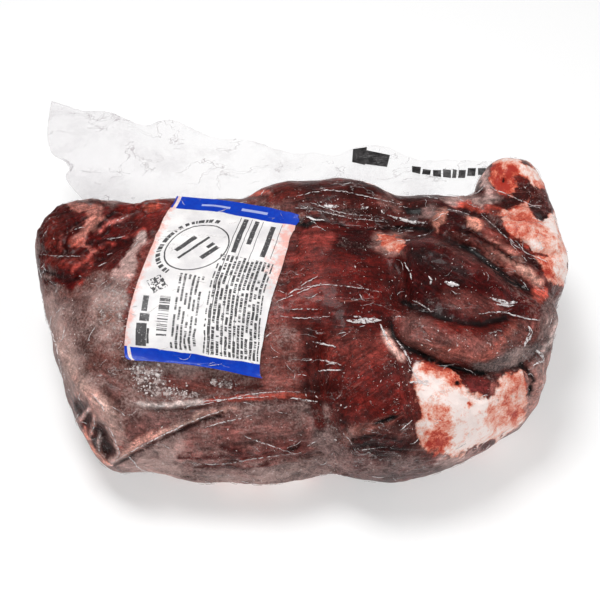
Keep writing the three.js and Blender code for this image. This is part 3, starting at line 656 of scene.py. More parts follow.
        "triangleLeft": {"outline": [(421, 209), (430, 205), (436, 210), (433, 219), (424, 217)], "colour": (142, 114, 110), "soft": 2.0, "frost": 0.3},
        "triangleRight": {"outline": [(435, 211), (448, 210), (449, 222), (442, 228), (433, 224)], "colour": (188, 124, 108), "soft": 2.0, "frost": 0.1},
        "lipTip": {"outline": [(532, 290), (540, 287), (547, 291), (547, 299), (541, 303), (534, 299)], "colour": (178, 84, 71), "soft": 2.4, "frost": 0.05},
        "backStreak": {"outline": [(180, 198), (230, 188), (270, 182), (302, 178), (302, 198), (262, 203), (215, 201), (182, 206)], "colour": (98, 44, 40), "soft": 4, "frost": 0.1},
        "backStreakOrange": {"outline": [(228, 192), (246, 189), (262, 191), (272, 196), (250, 199), (232, 197)], "colour": (170, 82, 68), "soft": 2.4, "frost": 0.1},
        "backStreakRight": {"outline": [(448, 198), (468, 201), (486, 205), (503, 210), (500, 213), (482, 210), (464, 207), (450, 204)], "colour": (186, 78, 64), "soft": 2.0, "frost": 0.05},
        "salmonFleck": {"outline": [(96, 312), (112, 310), (116, 322), (102, 328)], "colour": (170, 120, 108), "soft": 7, "frost": 0.5},
        "filmHump": {"outline": [(439, 199), (463, 188), (472, 176), (486, 168), (491, 182), (492, 192), (500, 199), (488, 206), (470, 201), (452, 203)], "colour": (182, 150, 144), "soft": 3.5, "frost": 0.35},
        "humpHole": {"outline": [(469, 188), (480, 184), (486, 190), (481, 197), (472, 195)], "colour": (62, 27, 26), "soft": 3, "frost": 0.0},
    },
    "strokes": {
        "ropePale": {"line": [(93, 250), (110, 243), (128, 236), (146, 228)], "width": 1.4, "colour": (150, 66, 60)},
        "cragStrandLeft": {"line": [(62, 234), (60, 247), (66, 252)], "width": 1.8, "colour": (142, 70, 64)},
        "cragStrandRight": {"line": [(99, 231), (109, 224), (128, 216)], "width": 1.5, "colour": (186, 108, 100)},
        # painted shade in the crag's grooves
        "cragShadeA": {"line": [(99, 227), (106, 220), (115, 211)], "width": 1.8, "colour": (44, 16, 15)},
        "cragShadeB": {"line": [(72, 228), (78, 222), (86, 216)], "width": 1.8, "colour": (54, 20, 18)},
        "cragShadeC": {"line": [(86, 243), (104, 240), (126, 240)], "width": 1.8, "colour": (58, 22, 20)},
        "cragStrandLow": {"line": [(91, 255), (82, 263), (72, 271)], "width": 1.8, "colour": (160, 76, 68)},
        "cragStrandDown": {"line": [(93, 259), (88, 270), (80, 284)], "width": 2.6, "colour": (142, 62, 56)},
        "cragStrandHook": {"line": [(76, 243), (86, 246), (92, 252), (98, 251)], "width": 1.4, "colour": (178, 104, 94)},
        "cragStrandTop": {"line": [(70, 206), (78, 211), (86, 208), (95, 207)], "width": 1.8, "colour": (186, 116, 104)},
        "longRidgeWhite": {"line": [(140, 404), (160, 406), (180, 404), (205, 401)], "width": 2.6, "colour": (240, 218, 212)},
        "longRidgeRed": {"line": [(205, 402), (227, 399), (262, 397), (295, 395), (318, 398)], "width": 2.4, "colour": (174, 80, 68)},
        "pocketStrandA": {"line": [(74, 423), (84, 415), (89, 409)], "width": 2.0, "colour": (206, 172, 165)},
        "pocketStrandB": {"line": [(101, 433), (99, 442), (99, 451), (103, 456)], "width": 1.7, "colour": (212, 184, 178)},
        "pocketStrandC": {"line": [(94, 415), (94, 426), (89, 438)], "width": 2.2, "colour": (204, 160, 150)},
        "pocketStrandD": {"line": [(108, 427), (114, 438), (117, 447), (118, 456), (110, 464)], "width": 2.4, "colour": (204, 166, 158)},
        "pocketRim": {"line": [(84, 430), (87, 441), (96, 452), (107, 464)], "width": 2.6, "colour": (206, 142, 126)},
        "slabRidge": {"line": [(54, 340), (64, 361), (77, 383), (95, 399), (114, 414)], "width": 2.4, "colour": (190, 156, 147)},
        # painted shadow under the lip
        "underLipShade": {"line": [(424, 356), (451, 367), (476, 373), (490, 373)], "width": 2.4, "colour": (20, 7, 7)},
        "underLipRight": {"line": [(490, 374), (506, 371), (520, 366), (542, 351)], "width": 1.4, "colour": (96, 58, 54)},
        "padDarkSpot": {"line": [(483, 446), (492, 442)], "width": 2.8, "colour": (92, 50, 48)},
        # painted shade in a hollow of the crag, under the lip, in the throat and in the lip's groove
        "cragHollow": {"line": [(60, 275), (66, 279), (70, 283)], "width": 4, "colour": (76, 22, 22)},
        "underLipThinShade": {"line": [(389, 320), (392, 335), (405, 347), (430, 358)], "width": 2.4, "colour": (34, 14, 14)},
        "throatShade": {"line": [(306, 322), (311, 345), (312, 375), (314, 400), (320, 424)], "width": 8, "colour": (86, 40, 37)},
        "lipGrooveShade": {"line": [(404, 302), (425, 312), (451, 320), (480, 325), (505, 318)], "width": 3.2, "colour": (46, 18, 18)},
        "rightRimPale": {"line": [(561, 316), (557, 328), (550, 340), (543, 350)], "width": 3.4, "colour": (178, 156, 151)},
        "rightRimThin": {"line": [(552, 314), (546, 326), (538, 338)], "width": 1.6, "colour": (160, 134, 129)},
        "stripShadow": {"line": [(460, 246), (474, 252), (490, 264), (508, 279), (528, 291)], "width": 3.2, "colour": (36, 13, 12)},
        # painted shade in the slit at the back
        "backSlitShade": {"line": [(308, 217), (345, 226), (372, 229), (396, 229)], "width": 1.4, "colour": (46, 20, 19)},
        "backSlitRight": {"line": [(398, 227), (412, 228), (432, 230)], "width": 1.9, "colour": (20, 8, 8)},
        "labelShadow": {"line": [(300, 223), (307, 225), (315, 222)], "width": 3.4, "colour": (30, 16, 17)},
        # painted shade in holes, a slit, two dents, the front round's wrinkles and a cavity
        "backHole": {"line": [(408, 211), (419, 213)], "width": 4.4, "colour": (34, 16, 16)},
        "blackSlit": {"line": [(521, 364), (528, 372), (533, 379), (531, 387), (529, 395)], "width": 2.4, "colour": (18, 12, 12)},
        "knobHole": {"line": [(503, 181)], "width": 2.4, "colour": (20, 8, 8)},
        "fatPadHole": {"line": [(457, 383)], "width": 2.8, "colour": (24, 8, 8)},
        "wrinkleHigh": {"line": [(352, 440), (362, 437), (380, 436), (400, 441)], "width": 1.6, "colour": (52, 20, 20)},
        "wrinkleMiddle": {"line": [(350, 449), (364, 445), (380, 446), (404, 451)], "width": 1.6, "colour": (48, 20, 20)},
        "wrinkleLow": {"line": [(354, 455), (372, 451), (388, 455)], "width": 1.3, "colour": (60, 30, 30)},
        "darkCavity": {"line": [(377, 424), (386, 420), (395, 417)], "width": 2.2, "colour": (26, 14, 15)},
        "seamCord": {"line": [(385, 333), (389, 341), (394, 349), (400, 357)], "width": 4.2, "colour": (206, 168, 158)},
        "cragShadowHigh": {"line": [(39, 250), (52, 254), (66, 252), (78, 257)], "width": 1.8, "colour": (84, 40, 37)},
        "cragShadowLow": {"line": [(42, 271), (56, 276), (66, 281), (78, 280), (90, 276)], "width": 1.8, "colour": (64, 30, 27)},
        # painted shadow under the salmon ridge, and painted shade in the roll's wrinkles
        "underSalmon": {"line": [(114, 466), (141, 450), (162, 439), (183, 429), (204, 420), (222, 414)], "width": 1.6, "colour": (72, 38, 35)},
        "rollShadeA": {"line": [(179, 457), (200, 459), (221, 456), (247, 457)], "width": 2.2, "colour": (84, 42, 40)},
        "rollShadeB": {"line": [(194, 467), (220, 466), (246, 468), (268, 465)], "width": 1.8, "colour": (92, 50, 47)},
        "rollShadeC": {"line": [(288, 449), (300, 447)], "width": 2.2, "colour": (48, 20, 19)},
        "rollShadeD": {"line": [(221, 447), (232, 450), (240, 453)], "width": 3, "colour": (84, 40, 38)},
        "ballShadow": {"line": [(484, 215), (505, 234), (527, 252), (541, 272)], "width": 2.4, "colour": (70, 27, 25)},
        # painted shade in the ball's hollow, under the ball and between the strips
        "ballHollow": {"line": [(535, 205), (540, 212), (547, 210), (550, 204)], "width": 6.5, "colour": (98, 54, 52)},
        "ballHollowShade": {"line": [(535, 214), (541, 218), (547, 217)], "width": 2.2, "colour": (56, 22, 21)},
        "ballUnder": {"line": [(505, 238), (514, 244), (522, 250)], "width": 3.6, "colour": (72, 28, 26)},
        "betweenStrips": {"line": [(462, 230), (478, 237), (494, 247), (510, 258)], "width": 2.2, "colour": (54, 20, 18)},
        "stripPaleEdge": {"line": [(500, 256), (514, 264), (528, 274)], "width": 1.4, "colour": (176, 128, 116)},
        "stripHighEdge": {"line": [(486, 236), (500, 245), (514, 255)], "width": 1.2, "colour": (164, 108, 98)},
        "ballShadowLow": {"line": [(512, 238), (524, 243), (532, 252), (546, 256)], "width": 1.8, "colour": (150, 64, 54)},
    },
    # thick white clumps of frost: an outline and how full it is
    "clumps": {
        "belowLabelLeft": {"outline": [(126, 362), (146, 364), (166, 372), (166, 392), (142, 396), (130, 382)], "full": 0.5},
        "belowLabelLow": {"outline": [(156, 384), (176, 386), (196, 390), (196, 398), (168, 400), (150, 396)], "full": 0.46},
        "belowLabelRight": {"outline": [(208, 376), (224, 376), (242, 382), (242, 390), (222, 388), (208, 386)], "full": 0.42},
        "cornerLeft": {"outline": [(106, 340), (124, 350), (126, 372), (108, 366)], "full": 0.15},
        "slabTop": {"outline": [(104, 284), (130, 276), (132, 302), (124, 332), (112, 344), (100, 330), (98, 300)], "full": 0.36},
        "longRidge": {"outline": [(140, 400), (206, 396), (206, 408), (140, 410)], "full": 0.22},
        "fatSeam": {"outline": [(388, 330), (404, 332), (412, 366), (408, 420), (392, 420), (396, 370)], "full": 0.14},
        "upperRound": {"outline": [(440, 270), (466, 270), (520, 296), (514, 310), (470, 296), (440, 288)], "full": 0.1},
        "lowerRound": {"outline": [(322, 330), (386, 330), (408, 366), (404, 430), (340, 470), (322, 440)], "full": 0.07},
        "centre": {"outline": [(300, 214), (400, 229), (404, 320), (330, 330), (284, 300)], "full": 0.06},
        "backStrip": {"outline": [(316, 196), (380, 196), (396, 212), (340, 214)], "full": 0.11},
    },
    # fat, from white (0) over pink to orange-red (1)
    "fat": {
        "pad": {"outline": [(413, 362), (436, 361), (455, 369), (464, 384), (470, 395), (486, 400), (497, 398), (503, 388), (500, 374), (522, 368), (528, 396), (524, 420), (508, 435), (490, 445), (470, 452), (460, 459), (440, 454), (426, 448), (416, 438), (419, 420), (415, 390)], "flush": 0.16, "soft": 6},
        "padOrange": {"outline": [(420, 361), (440, 361), (456, 369), (463, 382), (454, 383), (442, 378), (424, 371)], "flush": 0.84, "soft": 4},
        "padOrangeLow": {"outline": [(427, 410), (440, 405), (449, 414), (449, 428), (434, 431), (426, 424)], "flush": 0.5, "soft": 4},
        "padRed": {"outline": [(424, 430), (436, 426), (450, 430), (453, 440), (444, 452), (429, 449)], "flush": 0.94, "soft": 3},
        "padWhite": {"outline": [(419, 373), (440, 383), (466, 398), (474, 403), (485, 404), (486, 434), (478, 448), (462, 454), (452, 440), (450, 414), (438, 400), (422, 404)], "flush": 0.0, "soft": 6},
        "padBright": {"outline": [(474, 404), (483, 405), (484, 432), (477, 431), (473, 416)], "flush": -0.2, "soft": 3},
        "padSalmon": {"outline": [(502, 372), (522, 370), (527, 396), (522, 418), (504, 430), (490, 426), (487, 410), (500, 399)], "flush": 0.5, "soft": 6},
        "padBlotch": {"outline": [(485, 407), (495, 410), (495, 424), (486, 426)], "flush": 0.56, "soft": 3},
        "padStreak": {"outline": [(506, 396), (514, 396), (517, 410), (512, 424), (506, 416), (508, 406)], "flush": 0.86, "soft": 2.5},
        "padSpot": {"outline": [(463, 396), (467, 400), (469, 409), (465, 408)], "flush": 0.9, "soft": 1.6},
        "padRedLine": {"outline": [(426, 412), (430, 413), (431, 424), (427, 425)], "flush": 1.0, "soft": 1.6},
        "ball": {"outline": [(500, 212), (516, 204), (532, 200), (533, 214), (545, 218), (552, 208), (567, 214), (572, 240), (571, 289), (552, 286), (540, 270), (534, 256), (520, 246), (508, 236)], "flush": 0.5, "soft": 6},
        "ballRed": {"outline": [(508, 217), (524, 213), (536, 224), (530, 236), (514, 234)], "flush": 0.73, "soft": 4},
        "ballEdge": {"outline": [(508, 236), (522, 239), (528, 247), (518, 248)], "flush": 0.95, "soft": 3},
        "ballPale": {"outline": [(530, 239), (570, 236), (570, 252), (536, 251)], "flush": 0.25, "soft": 4},
        "ballWhite": {"outline": [(541, 214), (560, 212), (568, 228), (548, 232), (540, 226)], "flush": 0.02, "soft": 4},
        "rimWhite": {"outline": [(553, 254), (572, 254), (572, 284), (554, 273)], "flush": 0.05, "soft": 4},
        "rimRed": {"outline": [(539, 258), (552, 258), (554, 279), (544, 275)], "flush": 0.8, "soft": 3},
        "knob": {"outline": [(490, 181), (491, 168), (501, 158), (517, 156), (533, 164), (544, 178), (546, 191), (538, 188), (530, 180), (517, 178), (514, 190), (508, 197), (498, 193)], "flush": 0.6, "soft": 4},
        "knobRed": {"outline": [(492, 181), (493, 168), (502, 162), (516, 165), (516, 186), (508, 195), (498, 191)], "flush": 0.98, "soft": 4},
        "knobTop": {"outline": [(498, 160), (512, 156), (517, 162), (503, 166)], "flush": 0.35, "soft": 3},
        "knobRim": {"outline": [(540, 174), (548, 180), (556, 194), (564, 208), (566, 216), (558, 214), (550, 201), (545, 191), (540, 183)], "flush": 0.45, "soft": 2},
        "knobWhite": {"outline": [(516, 157), (533, 164), (544, 178), (534, 182), (521, 173)], "flush": 0.04, "soft": 3},
        "orangeKnot": {"outline": [(377, 242), (384, 236), (396, 235), (407, 240), (409, 247), (399, 251), (385, 249)], "flush": 0.66, "soft": 3},
    },
    "underFrost": 0.42,
    "fatWhite": (242, 226, 221),
    "fatPink": (232, 174, 156),
    "fatOrange": (212, 106, 82),
    "fatRed": (166, 52, 40),
    "muscle": (100, 48, 45),
    "muscleDark": (66, 28, 27),
    "mauve": (136, 104, 100),
    "frostColour": (208, 176, 169),
}


def paintMeat(piece):
    points, normals = readPoints(piece), readNormals(piece)
    edges = readEdges(piece)
    x, y = photoPlace(points)
    seen = smoothStep(0.0, 0.16, facingCamera(points, normals))
    broad, middle, fine = (lumps(points, size, 3, seed) for size, seed in ((0.05, 11.0), (0.016, 12.0), (0.007, 13.0)))
    warpX = x + 5 * middle + 3 * fine
    warpY = y + 5 * lumps(points, 0.016, 3, 14.0) + 3 * lumps(points, 0.007, 3, 15.0)

    # hidden sides follow the same meat: frosty mauve to the left, darker to the right, with lobes of fat
    left = smoothStep(0.03, -0.09, points[:, 0] + 0.03 * broad)
    tone = np.outer(1 - left, toLinear(meatPaint["muscle"])) + np.outer(left, toLinear(meatPaint["mauve"]))
    depth = smoothStep(0.05, 0.5, middle + 0.4 * broad)[:, None]
    tone = tone * (1 - 0.7 * depth) + toLinear(meatPaint["muscleDark"]) * 0.7 * depth
    frost = np.clip(0.25 + 0.35 * left + 0.4 * broad, 0, 1)
    lobes = lumps(points, 0.045, 3, 21.0, (2.4, 1, 0.7)) + 0.1 * smoothStep(0.08, 0.17, points[:, 0])
    seams = smoothStep(0.09, 0.02, np.abs(lumps(points, 0.07, 2, 24.0, (1.5, 1, 0.7)) + 0.05 * fine) + 0.03)
    hiddenFat = np.maximum(smoothStep(0.3, 0.5, lobes), 0.75 * seams) * (1 - seen)
    fat = hiddenFat.copy()
    flush = np.clip(0.42 + 0.7 * lumps(points, 0.024, 3, 22.0), 0, 1)

    for patch in meatPaint["patches"].values():
        share = smoothStep(-patch["soft"], patch["soft"], insideDistance(warpX, warpY, patch["outline"])) * seen
        tone = tone * (1 - share[:, None]) + toLinear(patch["colour"]) * share[:, None]
        frost = frost * (1 - share) + patch["frost"] * share
        fat *= 1 - share
    # fat ends in torn, drawn out edges
    tornX = warpX + 3.2 * lumps(points, 0.0042, 3, 16.0, (0.6, 1, 1.4))
    tornY = warpY + 3.2 * lumps(points, 0.0042, 3, 17.0, (0.6, 1, 1.4))
    for patch in meatPaint["fat"].values():
        share = smoothStep(-patch["soft"], patch["soft"], insideDistance(tornX, tornY, patch["outline"])) * seen
        fat = np.maximum(fat, share)
        flush = flush * (1 - share) + patch["flush"] * share
        frost = frost * (1 - share) + 0.12 * share
    slightX, slightY = x + 1.6 * middle + 1.0 * fine, y + 1.6 * fine
    for stroke in meatPaint["strokes"].values():
        gap, along = lineDistance(slightX, slightY, stroke["line"])
        share = smoothStep(stroke["width"] * 1.35, stroke["width"] * 0.4, gap) * seen
        tone = tone * (1 - share[:, None]) + toLinear(stroke["colour"]) * share[:, None]
        frost *= 1 - 0.6 * share
        fat *= 1 - share

    clump = np.zeros(len(points))
    for patch in meatPaint["clumps"].values():
        share = smoothStep(-8, 5, insideDistance(warpX, warpY, patch["outline"])) * seen
        clump = np.maximum(clump, patch["full"] * share)
    clump = np.maximum(clump, 0.28 * smoothStep(0.2, 0.5, lumps(points, 0.024, 3, 23.0)) * (1 - seen))

    # hollows are darker with painted shade, and crests catch more frost
    hollow = ((averaged(points, edges, 6) - points) * normals).sum(1)
    broadHollow = ((averaged(points, edges, 60) - points) * normals).sum(1)
    storeValue(piece, "hollow", smoothStep(0.0001, 0.0016, hollow) * 0.5 + smoothStep(0.001, 0.006, broadHollow) * 0.5)
    storeValue(piece, "crest", smoothStep(0.0001, 0.0012, -hollow))
    gain = np.interp(tone[:, 0], (0.1, 0.45), meatPaint["gain"])
    tone = (tone - meatPaint["filmLight"]) * (gain * (1 - meatPaint["underFrost"] * frost))[:, None]
    storeColour(piece, "meatTone", np.clip(tone, 0.002, 1))
    storeValue(piece, "fat", np.clip(fat, 0, 1))
    storeValue(piece, "flush", np.clip(flush, 0, 1))
    storeValue(piece, "frost", np.clip(frost, 0, 1))
    storeValue(piece, "clump", clump)
    storeVector(piece, "grain", grainPlaces(points, x, y, seen))


# The way the fibres run, in each part of the meat: its outline in the photograph and a direction
grainRuns = {
    "everywhere": {"along": (1.0, 0.1, 0.0), "centre": (0.0, -0.04, 0.06)},
    "slab": {"outline": [(38, 288), (150, 226), (180, 225), (150, 380), (226, 400), (109, 463), (60, 400)], "along": (0.78, -0.6, -0.1), "centre": (-0.12, -0.07, 0.08)},
    "lowerRound": {"outline": [(316, 330), (400, 330), (420, 440), (390, 470), (345, 470), (318, 400)], "along": (-0.8, -0.5, -0.2), "centre": (0.05, -0.11, 0.07)},
    "upperRound": {"outline": [(404, 232), (436, 228), (545, 300), (540, 340), (480, 366), (404, 340)], "along": (0.82, -0.5, -0.2), "centre": (0.13, -0.04, 0.11)},
    "crag": {"outline": [(36, 214), (98, 200), (180, 198), (160, 226), (92, 270), (38, 288)], "along": (0.8, 0.55, 0.1), "centre": (-0.14, 0.02, 0.1)},
}


def grainPlaces(points, x, y, seen):
    # places drawn out along the fibres, so that noise on them makes streaks
    total = np.zeros_like(points)
    for run in grainRuns.values():
        along = np.array(run["along"]) / np.linalg.norm(run["along"])
        across = np.cross(along, (0, 0, 1))
        across /= np.linalg.norm(across)
        axes = np.stack([along * 0.16, across, np.cross(along, across)], 1)
        places = (points - np.array(run["centre"])) @ axes
        if "outline" in run:
            share = (smoothStep(-12, 12, insideDistance(x, y, run["outline"])) * seen)[:, None]
            total = total * (1 - share) + places * share
        else:
            total = places
    return total


def makeMeatMaterial():
    material, tree, shader = newMaterial("frozenBeef")
    place = addNode(tree, "ShaderNodeTexCoord").outputs["Object"]

    def attribute(name, output="Fac"):
        return addNode(tree, "ShaderNodeAttribute", attribute_name=name).outputs[output]

    grain = attribute("grain", "Vector")
    tone = attribute("meatTone", "Color")
    hollow = attribute("hollow")
    frostPaint = attribute("frost")

    # muscle: streaks along the fibres, blotches, and threads of sinew
    streaks = addNoise(tree, grain, 420.0, 4.0, 0.65)
    coarseStreaks = addNoise(tree, grain, 110.0, 4.0, 0.6)
    blotches = addNoise(tree, place, 55.0, 6.0, 0.62)
    mottle = addNoise(tree, place, 240.0, 5.0, 0.7)
    grit = addNoise(tree, place, 900.0, 2.0, 0.6)
    lighter = addMath(tree, "MULTIPLY", addRange(tree, streaks, 0.3, 0.7, 0.62, 1.42), addRange(tree, blotches, 0.3, 0.7, 0.58, 1.46))
    lighter = addMath(tree, "MULTIPLY", lighter, addRange(tree, mottle, 0.3, 0.7, 0.56, 1.5))
    lighter = addMath(tree, "MULTIPLY", lighter, addRange(tree, grit, 0.3, 0.7, 0.7, 1.32))
    lighter = addMath(tree, "MULTIPLY", lighter, addRange(tree, coarseStreaks, 0.3, 0.7, 0.62, 1.42))
    calm = addRange(tree, frostPaint, 0.0, 1.0, 0.0, 0.32, smooth=False)
    lighter = addMath(tree, "ADD", addMath(tree, "MULTIPLY", lighter, addMath(tree, "SUBTRACT", 1.0, calm)), calm)
    # painted shade: the muscle is darker in hollows
    lighter = addMath(tree, "MULTIPLY", lighter, addRange(tree, hollow, 0.0, 1.0, 1.06, 0.3, smooth=False))
    grey = addNode(tree, "ShaderNodeCombineColor", {0: lighter, 1: lighter, 2: lighter}).outputs[0]
    muscle = addMix(tree, 1.0, tone, grey, "MULTIPLY")
    ruddy = addRange(tree, addNoise(tree, place, 34.0, 6.0, 0.68), 0.44, 0.66)
    muscle = addMix(tree, ruddy, muscle, addMix(tree, 1.0, muscle, (1.18, 0.97, 0.95, 1.0), "MULTIPLY"))
    sinew = useGroup(tree, groups["threads"], {"Place": grain, "Scale": 95.0, "Width": 0.014, "Share": 0.44})["Mask"]
    muscle = addMix(tree, addMath(tree, "MULTIPLY", sinew, 0.2), muscle, shade((196, 128, 116)))

    # fat: white to orange-red, with soft lobes and red flecks
    lobes = addNoise(tree, place, 75.0, 5.0, 0.6)
    flushed = addMath(tree, "ADD", attribute("flush"), addRange(tree, lobes, 0.3, 0.7, -0.24, 0.24))
    flushed = addMath(tree, "ADD", flushed, addRange(tree, mottle, 0.3, 0.7, -0.21, 0.21))
    flushed = addMath(tree, "ADD", flushed, addRange(tree, grit, 0.3, 0.7, -0.13, 0.13))
    fatPaint = attribute("fat")
    flushed = addMath(tree, "ADD", flushed, addRange(tree, fatPaint, 0.35, 1.0, 0.28, 0.0))
    ramp = addNode(tree, "ShaderNodeValToRGB", {0: flushed})
    ramp.color_ramp.elements[0].position = 0.05
    ramp.color_ramp.elements[0].color = shade(meatPaint["fatWhite"])
    ramp.color_ramp.elements[1].position = 1.0
    ramp.color_ramp.elements[1].color = shade(meatPaint["fatRed"])
    for at, name in ((0.4, "fatPink"), (0.72, "fatOrange")):
        ramp.color_ramp.elements.new(at).color = shade(meatPaint[name])
    # painted shade: the fat turns dark red in hollows
    fatColour = addMix(tree, addRange(tree, hollow, 0.2, 1.0, 0.0, 0.6), ramp.outputs[0], shade((120, 52, 44)))
    fatEdge = {"Mask": fatPaint, "Place": place, "Scale": 260.0, "Spread": 1.3}
    fat = useGroup(tree, groups["raggedEdge"], fatEdge)["Mask"]
    colour = addMix(tree, fat, muscle, fatColour)

    # frost: a haze of fine crystals, with white clumps where it is thick
    grains = useGroup(tree, groups["frostGrain"], {"Place": place, "Amount": frostPaint})
    thinned = addMath(tree, "MULTIPLY", grains["Mask"], addRange(tree, hollow, 0.1, 0.8, 0.56, 0.05))
    colour = addMix(tree, thinned, colour, shade(meatPaint["frostColour"]))
    clumps = addMath(tree, "MULTIPLY", grains["Crystals"], 0.6)
    colour = addMix(tree, clumps, colour, shade((232, 226, 224)))
    flakes = addMath(tree, "MULTIPLY_ADD", attribute("clump"), 0.3)
    flakeShape = addNoise(tree, place, 300.0, 7.0, 0.8)
    tree.links.new(flakeShape, flakes.node.inputs[2])
    flakes = addMath(tree, "MULTIPLY", addRange(tree, flakes, 0.64, 0.68), addMath(tree, "GREATER_THAN", attribute("clump"), 0.02))
    colour = addMix(tree, addMath(tree, "MULTIPLY", flakes, 0.72), colour, shade((218, 200, 196)))
    flecks = useGroup(tree, groups["flecks"], {"Place": place, "Scale": 560.0, "Share": 0.1, "Size": 0.24})["Mask"]
    dusted = addRange(tree, addNoise(tree, place, 38.0, 4.0, 0.6), 0.42, 0.6)
    flecks = addMath(tree, "MULTIPLY", flecks, dusted)
    colour = addMix(tree, addMath(tree, "MULTIPLY", flecks, 0.4), colour, shade((226, 210, 205)))
    tree.links.new(colour, shader.inputs["Base Color"])

    dull = addMath(tree, "MAXIMUM", addMath(tree, "MAXIMUM", thinned, clumps), flakes)
    tree.links.new(addRange(tree, dull, 0.0, 0.6, 0.34, 0.7), shader.inputs["Roughness"])
    shader.inputs["Specular IOR Level"].default_value = 0.08
    tree.links.new(addRange(tree, dull, 0.0, 0.6, 0.05, 0.01), shader.inputs["Coat Weight"])
    shader.inputs["Coat Roughness"].default_value = 0.09

    height = addMath(tree, "MULTIPLY", streaks, 0.5)
    height = addMath(tree, "ADD", height, addMath(tree, "MULTIPLY", mottle, 0.7))
    height = addMath(tree, "ADD", height, addMath(tree, "MULTIPLY", grains["Mask"], 0.5))
    height = addMath(tree, "ADD", height, addMath(tree, "MULTIPLY", flecks, 0.8))
    height = addMath(tree, "ADD", height, addMath(tree, "MULTIPLY", flakes, 0.6))
    bump = addNode(tree, "ShaderNodeBump", {"Strength": 0.85, "Distance": 0.0012, "Height": height})
    tree.links.new(bump.outputs[0], shader.inputs["Normal"])
    return material


# The paper label lies over the broad muscle, under the film. Its corners are seen from above, and its own
# millimetres run from the front left corner, across to the right and back along the meat.
labelShape = {
    "frontLeft": (-0.1078, -0.1119),
    "frontRight": (-0.0193, -0.1228),
    "backRight": (0.0062, 0.0092),
    "backLeft": (-0.0838, 0.0262),
    "bow": (0.006, 0.005),
    "columns": 58,
    "rows": 90,
    "gap": 0.0008,
    "crinkle": 0.00025,
    "width": 88.0,
    "length": 136.0,
}


def shapeLabel(meatTree):
    columns, rows = labelShape["columns"], labelShape["rows"]
    bpy.ops.object.select_all(action="DESELECT")
    bpy.ops.mesh.primitive_grid_add(x_subdivisions=columns, y_subdivisions=rows, size=1.0)
    piece = bpy.context.object
    piece.name = "paperLabel"
    flat = readPoints(piece)
    across, back = flat[:, 0] + 0.5, flat[:, 1] + 0.5
    corners = {name: np.array(labelShape[name]) for name in ("frontLeft", "frontRight", "backRight", "backLeft")}
    front = corners["frontLeft"] + np.outer(across, corners["frontRight"] - corners["frontLeft"])
    rear = corners["backLeft"] + np.outer(across, corners["backRight"] - corners["backLeft"])
    spots = front + (rear - front) * back[:, None]
    leftBow, rightBow = labelShape["bow"]
    spots[:, 0] -= (leftBow + (rightBow - leftBow) * across) * np.sin(math.pi * np.sqrt(back))
    points = np.zeros((len(flat), 3))
    for i, spot in enumerate(spots):
        hit = meatTree.ray_cast(Vector((spot[0], spot[1], 0.2)), Vector((0, 0, -1)))[0]
        points[i] = hit
    edges = readEdges(piece)
    a, b = across * 2 - 1, back * 2 - 1
    terms = np.stack([np.ones_like(a), a, b, a * a, a * b, b * b, b**3, a * b * b], 1)
    points[:, 2] = terms @ np.linalg.lstsq(terms, points[:, 2], rcond=None)[0]
    for _ in range(6):
        for i, point in enumerate(points):
            on, normal, _, _ = meatTree.find_nearest(Vector(point))
            short = labelShape["gap"] - (Vector(point) - on).dot(normal)
            if short > 0:
                points[i] = Vector(point) + normal * short
        points[:, 2] = averaged(points[:, 2], edges, 10)
    points[:, 2] += labelShape["crinkle"] * (lumps(points, 0.011, 3, 31.0) + 0.5)
    writePoints(piece, points)
    for loop in piece.data.uv_layers[0].data:
        loop.uv = (loop.uv[0] * labelShape["width"] / 100, loop.uv[1] * labelShape["length"] / 100)
    piece.data.uv_layers[0].name = "labelMap"
    return piece


# What is printed, in the label's millimetres: left, front, right and back edges of each field
labelPrint = {
    "lean": {"below": 60.0, "share": 0.1},
    "bandFront": (-20.0, 0.0, 99.0, 9.3),
    "bandBack": (-9.0, 122.4, 99.0, 145.0),
    "stripFront": (-3.4, 0.0, -1.2, 9.3),
    "stripBack": (1.2, 122.4, 3.6, 145.0),
    "ring": {"at": (29.6, 86.4), "long": 22.8, "short": 18.2, "turn": 57.0, "line": 0.045},
    "ringBars": [(-0.5, 0.34, 0.25, 0.52), (-0.66, 0.02, 0.52, 0.12), (0.2, -0.34, 0.46, -0.2), (-0.2, -0.6, 0.44, -0.42)],
    "ringRim": {"from": 1.12, "to": 1.27},
    "heading": [(2.6, 10.5, 9.4, 24.0), (4.2, 25.5, 10.6, 30.5), (4.8, 32.0, 8.6, 43.0), (9.6, 12.0, 11.2, 21.0)],
    "barcode": (15.8, 17.0, 22.8, 44.0),
    "chequer": {"at": (12.3, 52.4), "half": 5.4, "turn": 35.0, "cell": 0.98},
    "numbers": [(52.4, 87.0, 55.6, 120.0), (60.0, 96.0, 63.0, 120.0), (71.4, 88.0, 74.8, 118.0)],
    "rules": [(50.0, 10.5, 50.5, 121.0), (57.6, 10.5, 58.0, 121.0), (65.2, 10.5, 65.6, 121.0), (78.4, 88.0, 78.8, 121.0)],
    "denseRows": {"field": (46.6, 10.8, 82.0, 84.0), "pitch": 2.7, "ink": 0.62, "word": 4.2},
    "thinRows": {"field": (25.6, 11.0, 42.4, 62.0), "pitch": 2.9, "ink": 0.5, "word": 6.0},
    "bandMarks": [(48.0, 128.4, 66.0, 131.0), (20.0, 128.0, 40.0, 130.2)],
}


def makePrintField():
    # a plain rectangle of the label
    group, given, result = newGroup(
        "printField",
        {"Map": vectorSocket, "Left": floatSocket, "Front": floatSocket, "Right": floatSocket, "Back": floatSocket},
        {"Mask": floatSocket},
    )
    axes = addNode(group, "ShaderNodeSeparateXYZ", {0: given["Map"]}).outputs
    mask = addMath(group, "GREATER_THAN", axes[0], given["Left"])
    for operation, axis, edge in (("LESS_THAN", 0, "Right"), ("GREATER_THAN", 1, "Front"), ("LESS_THAN", 1, "Back")):
        mask = addMath(group, "MULTIPLY", mask, addMath(group, operation, axes[axis], given[edge]))
    group.links.new(mask, result["Mask"])
    return group


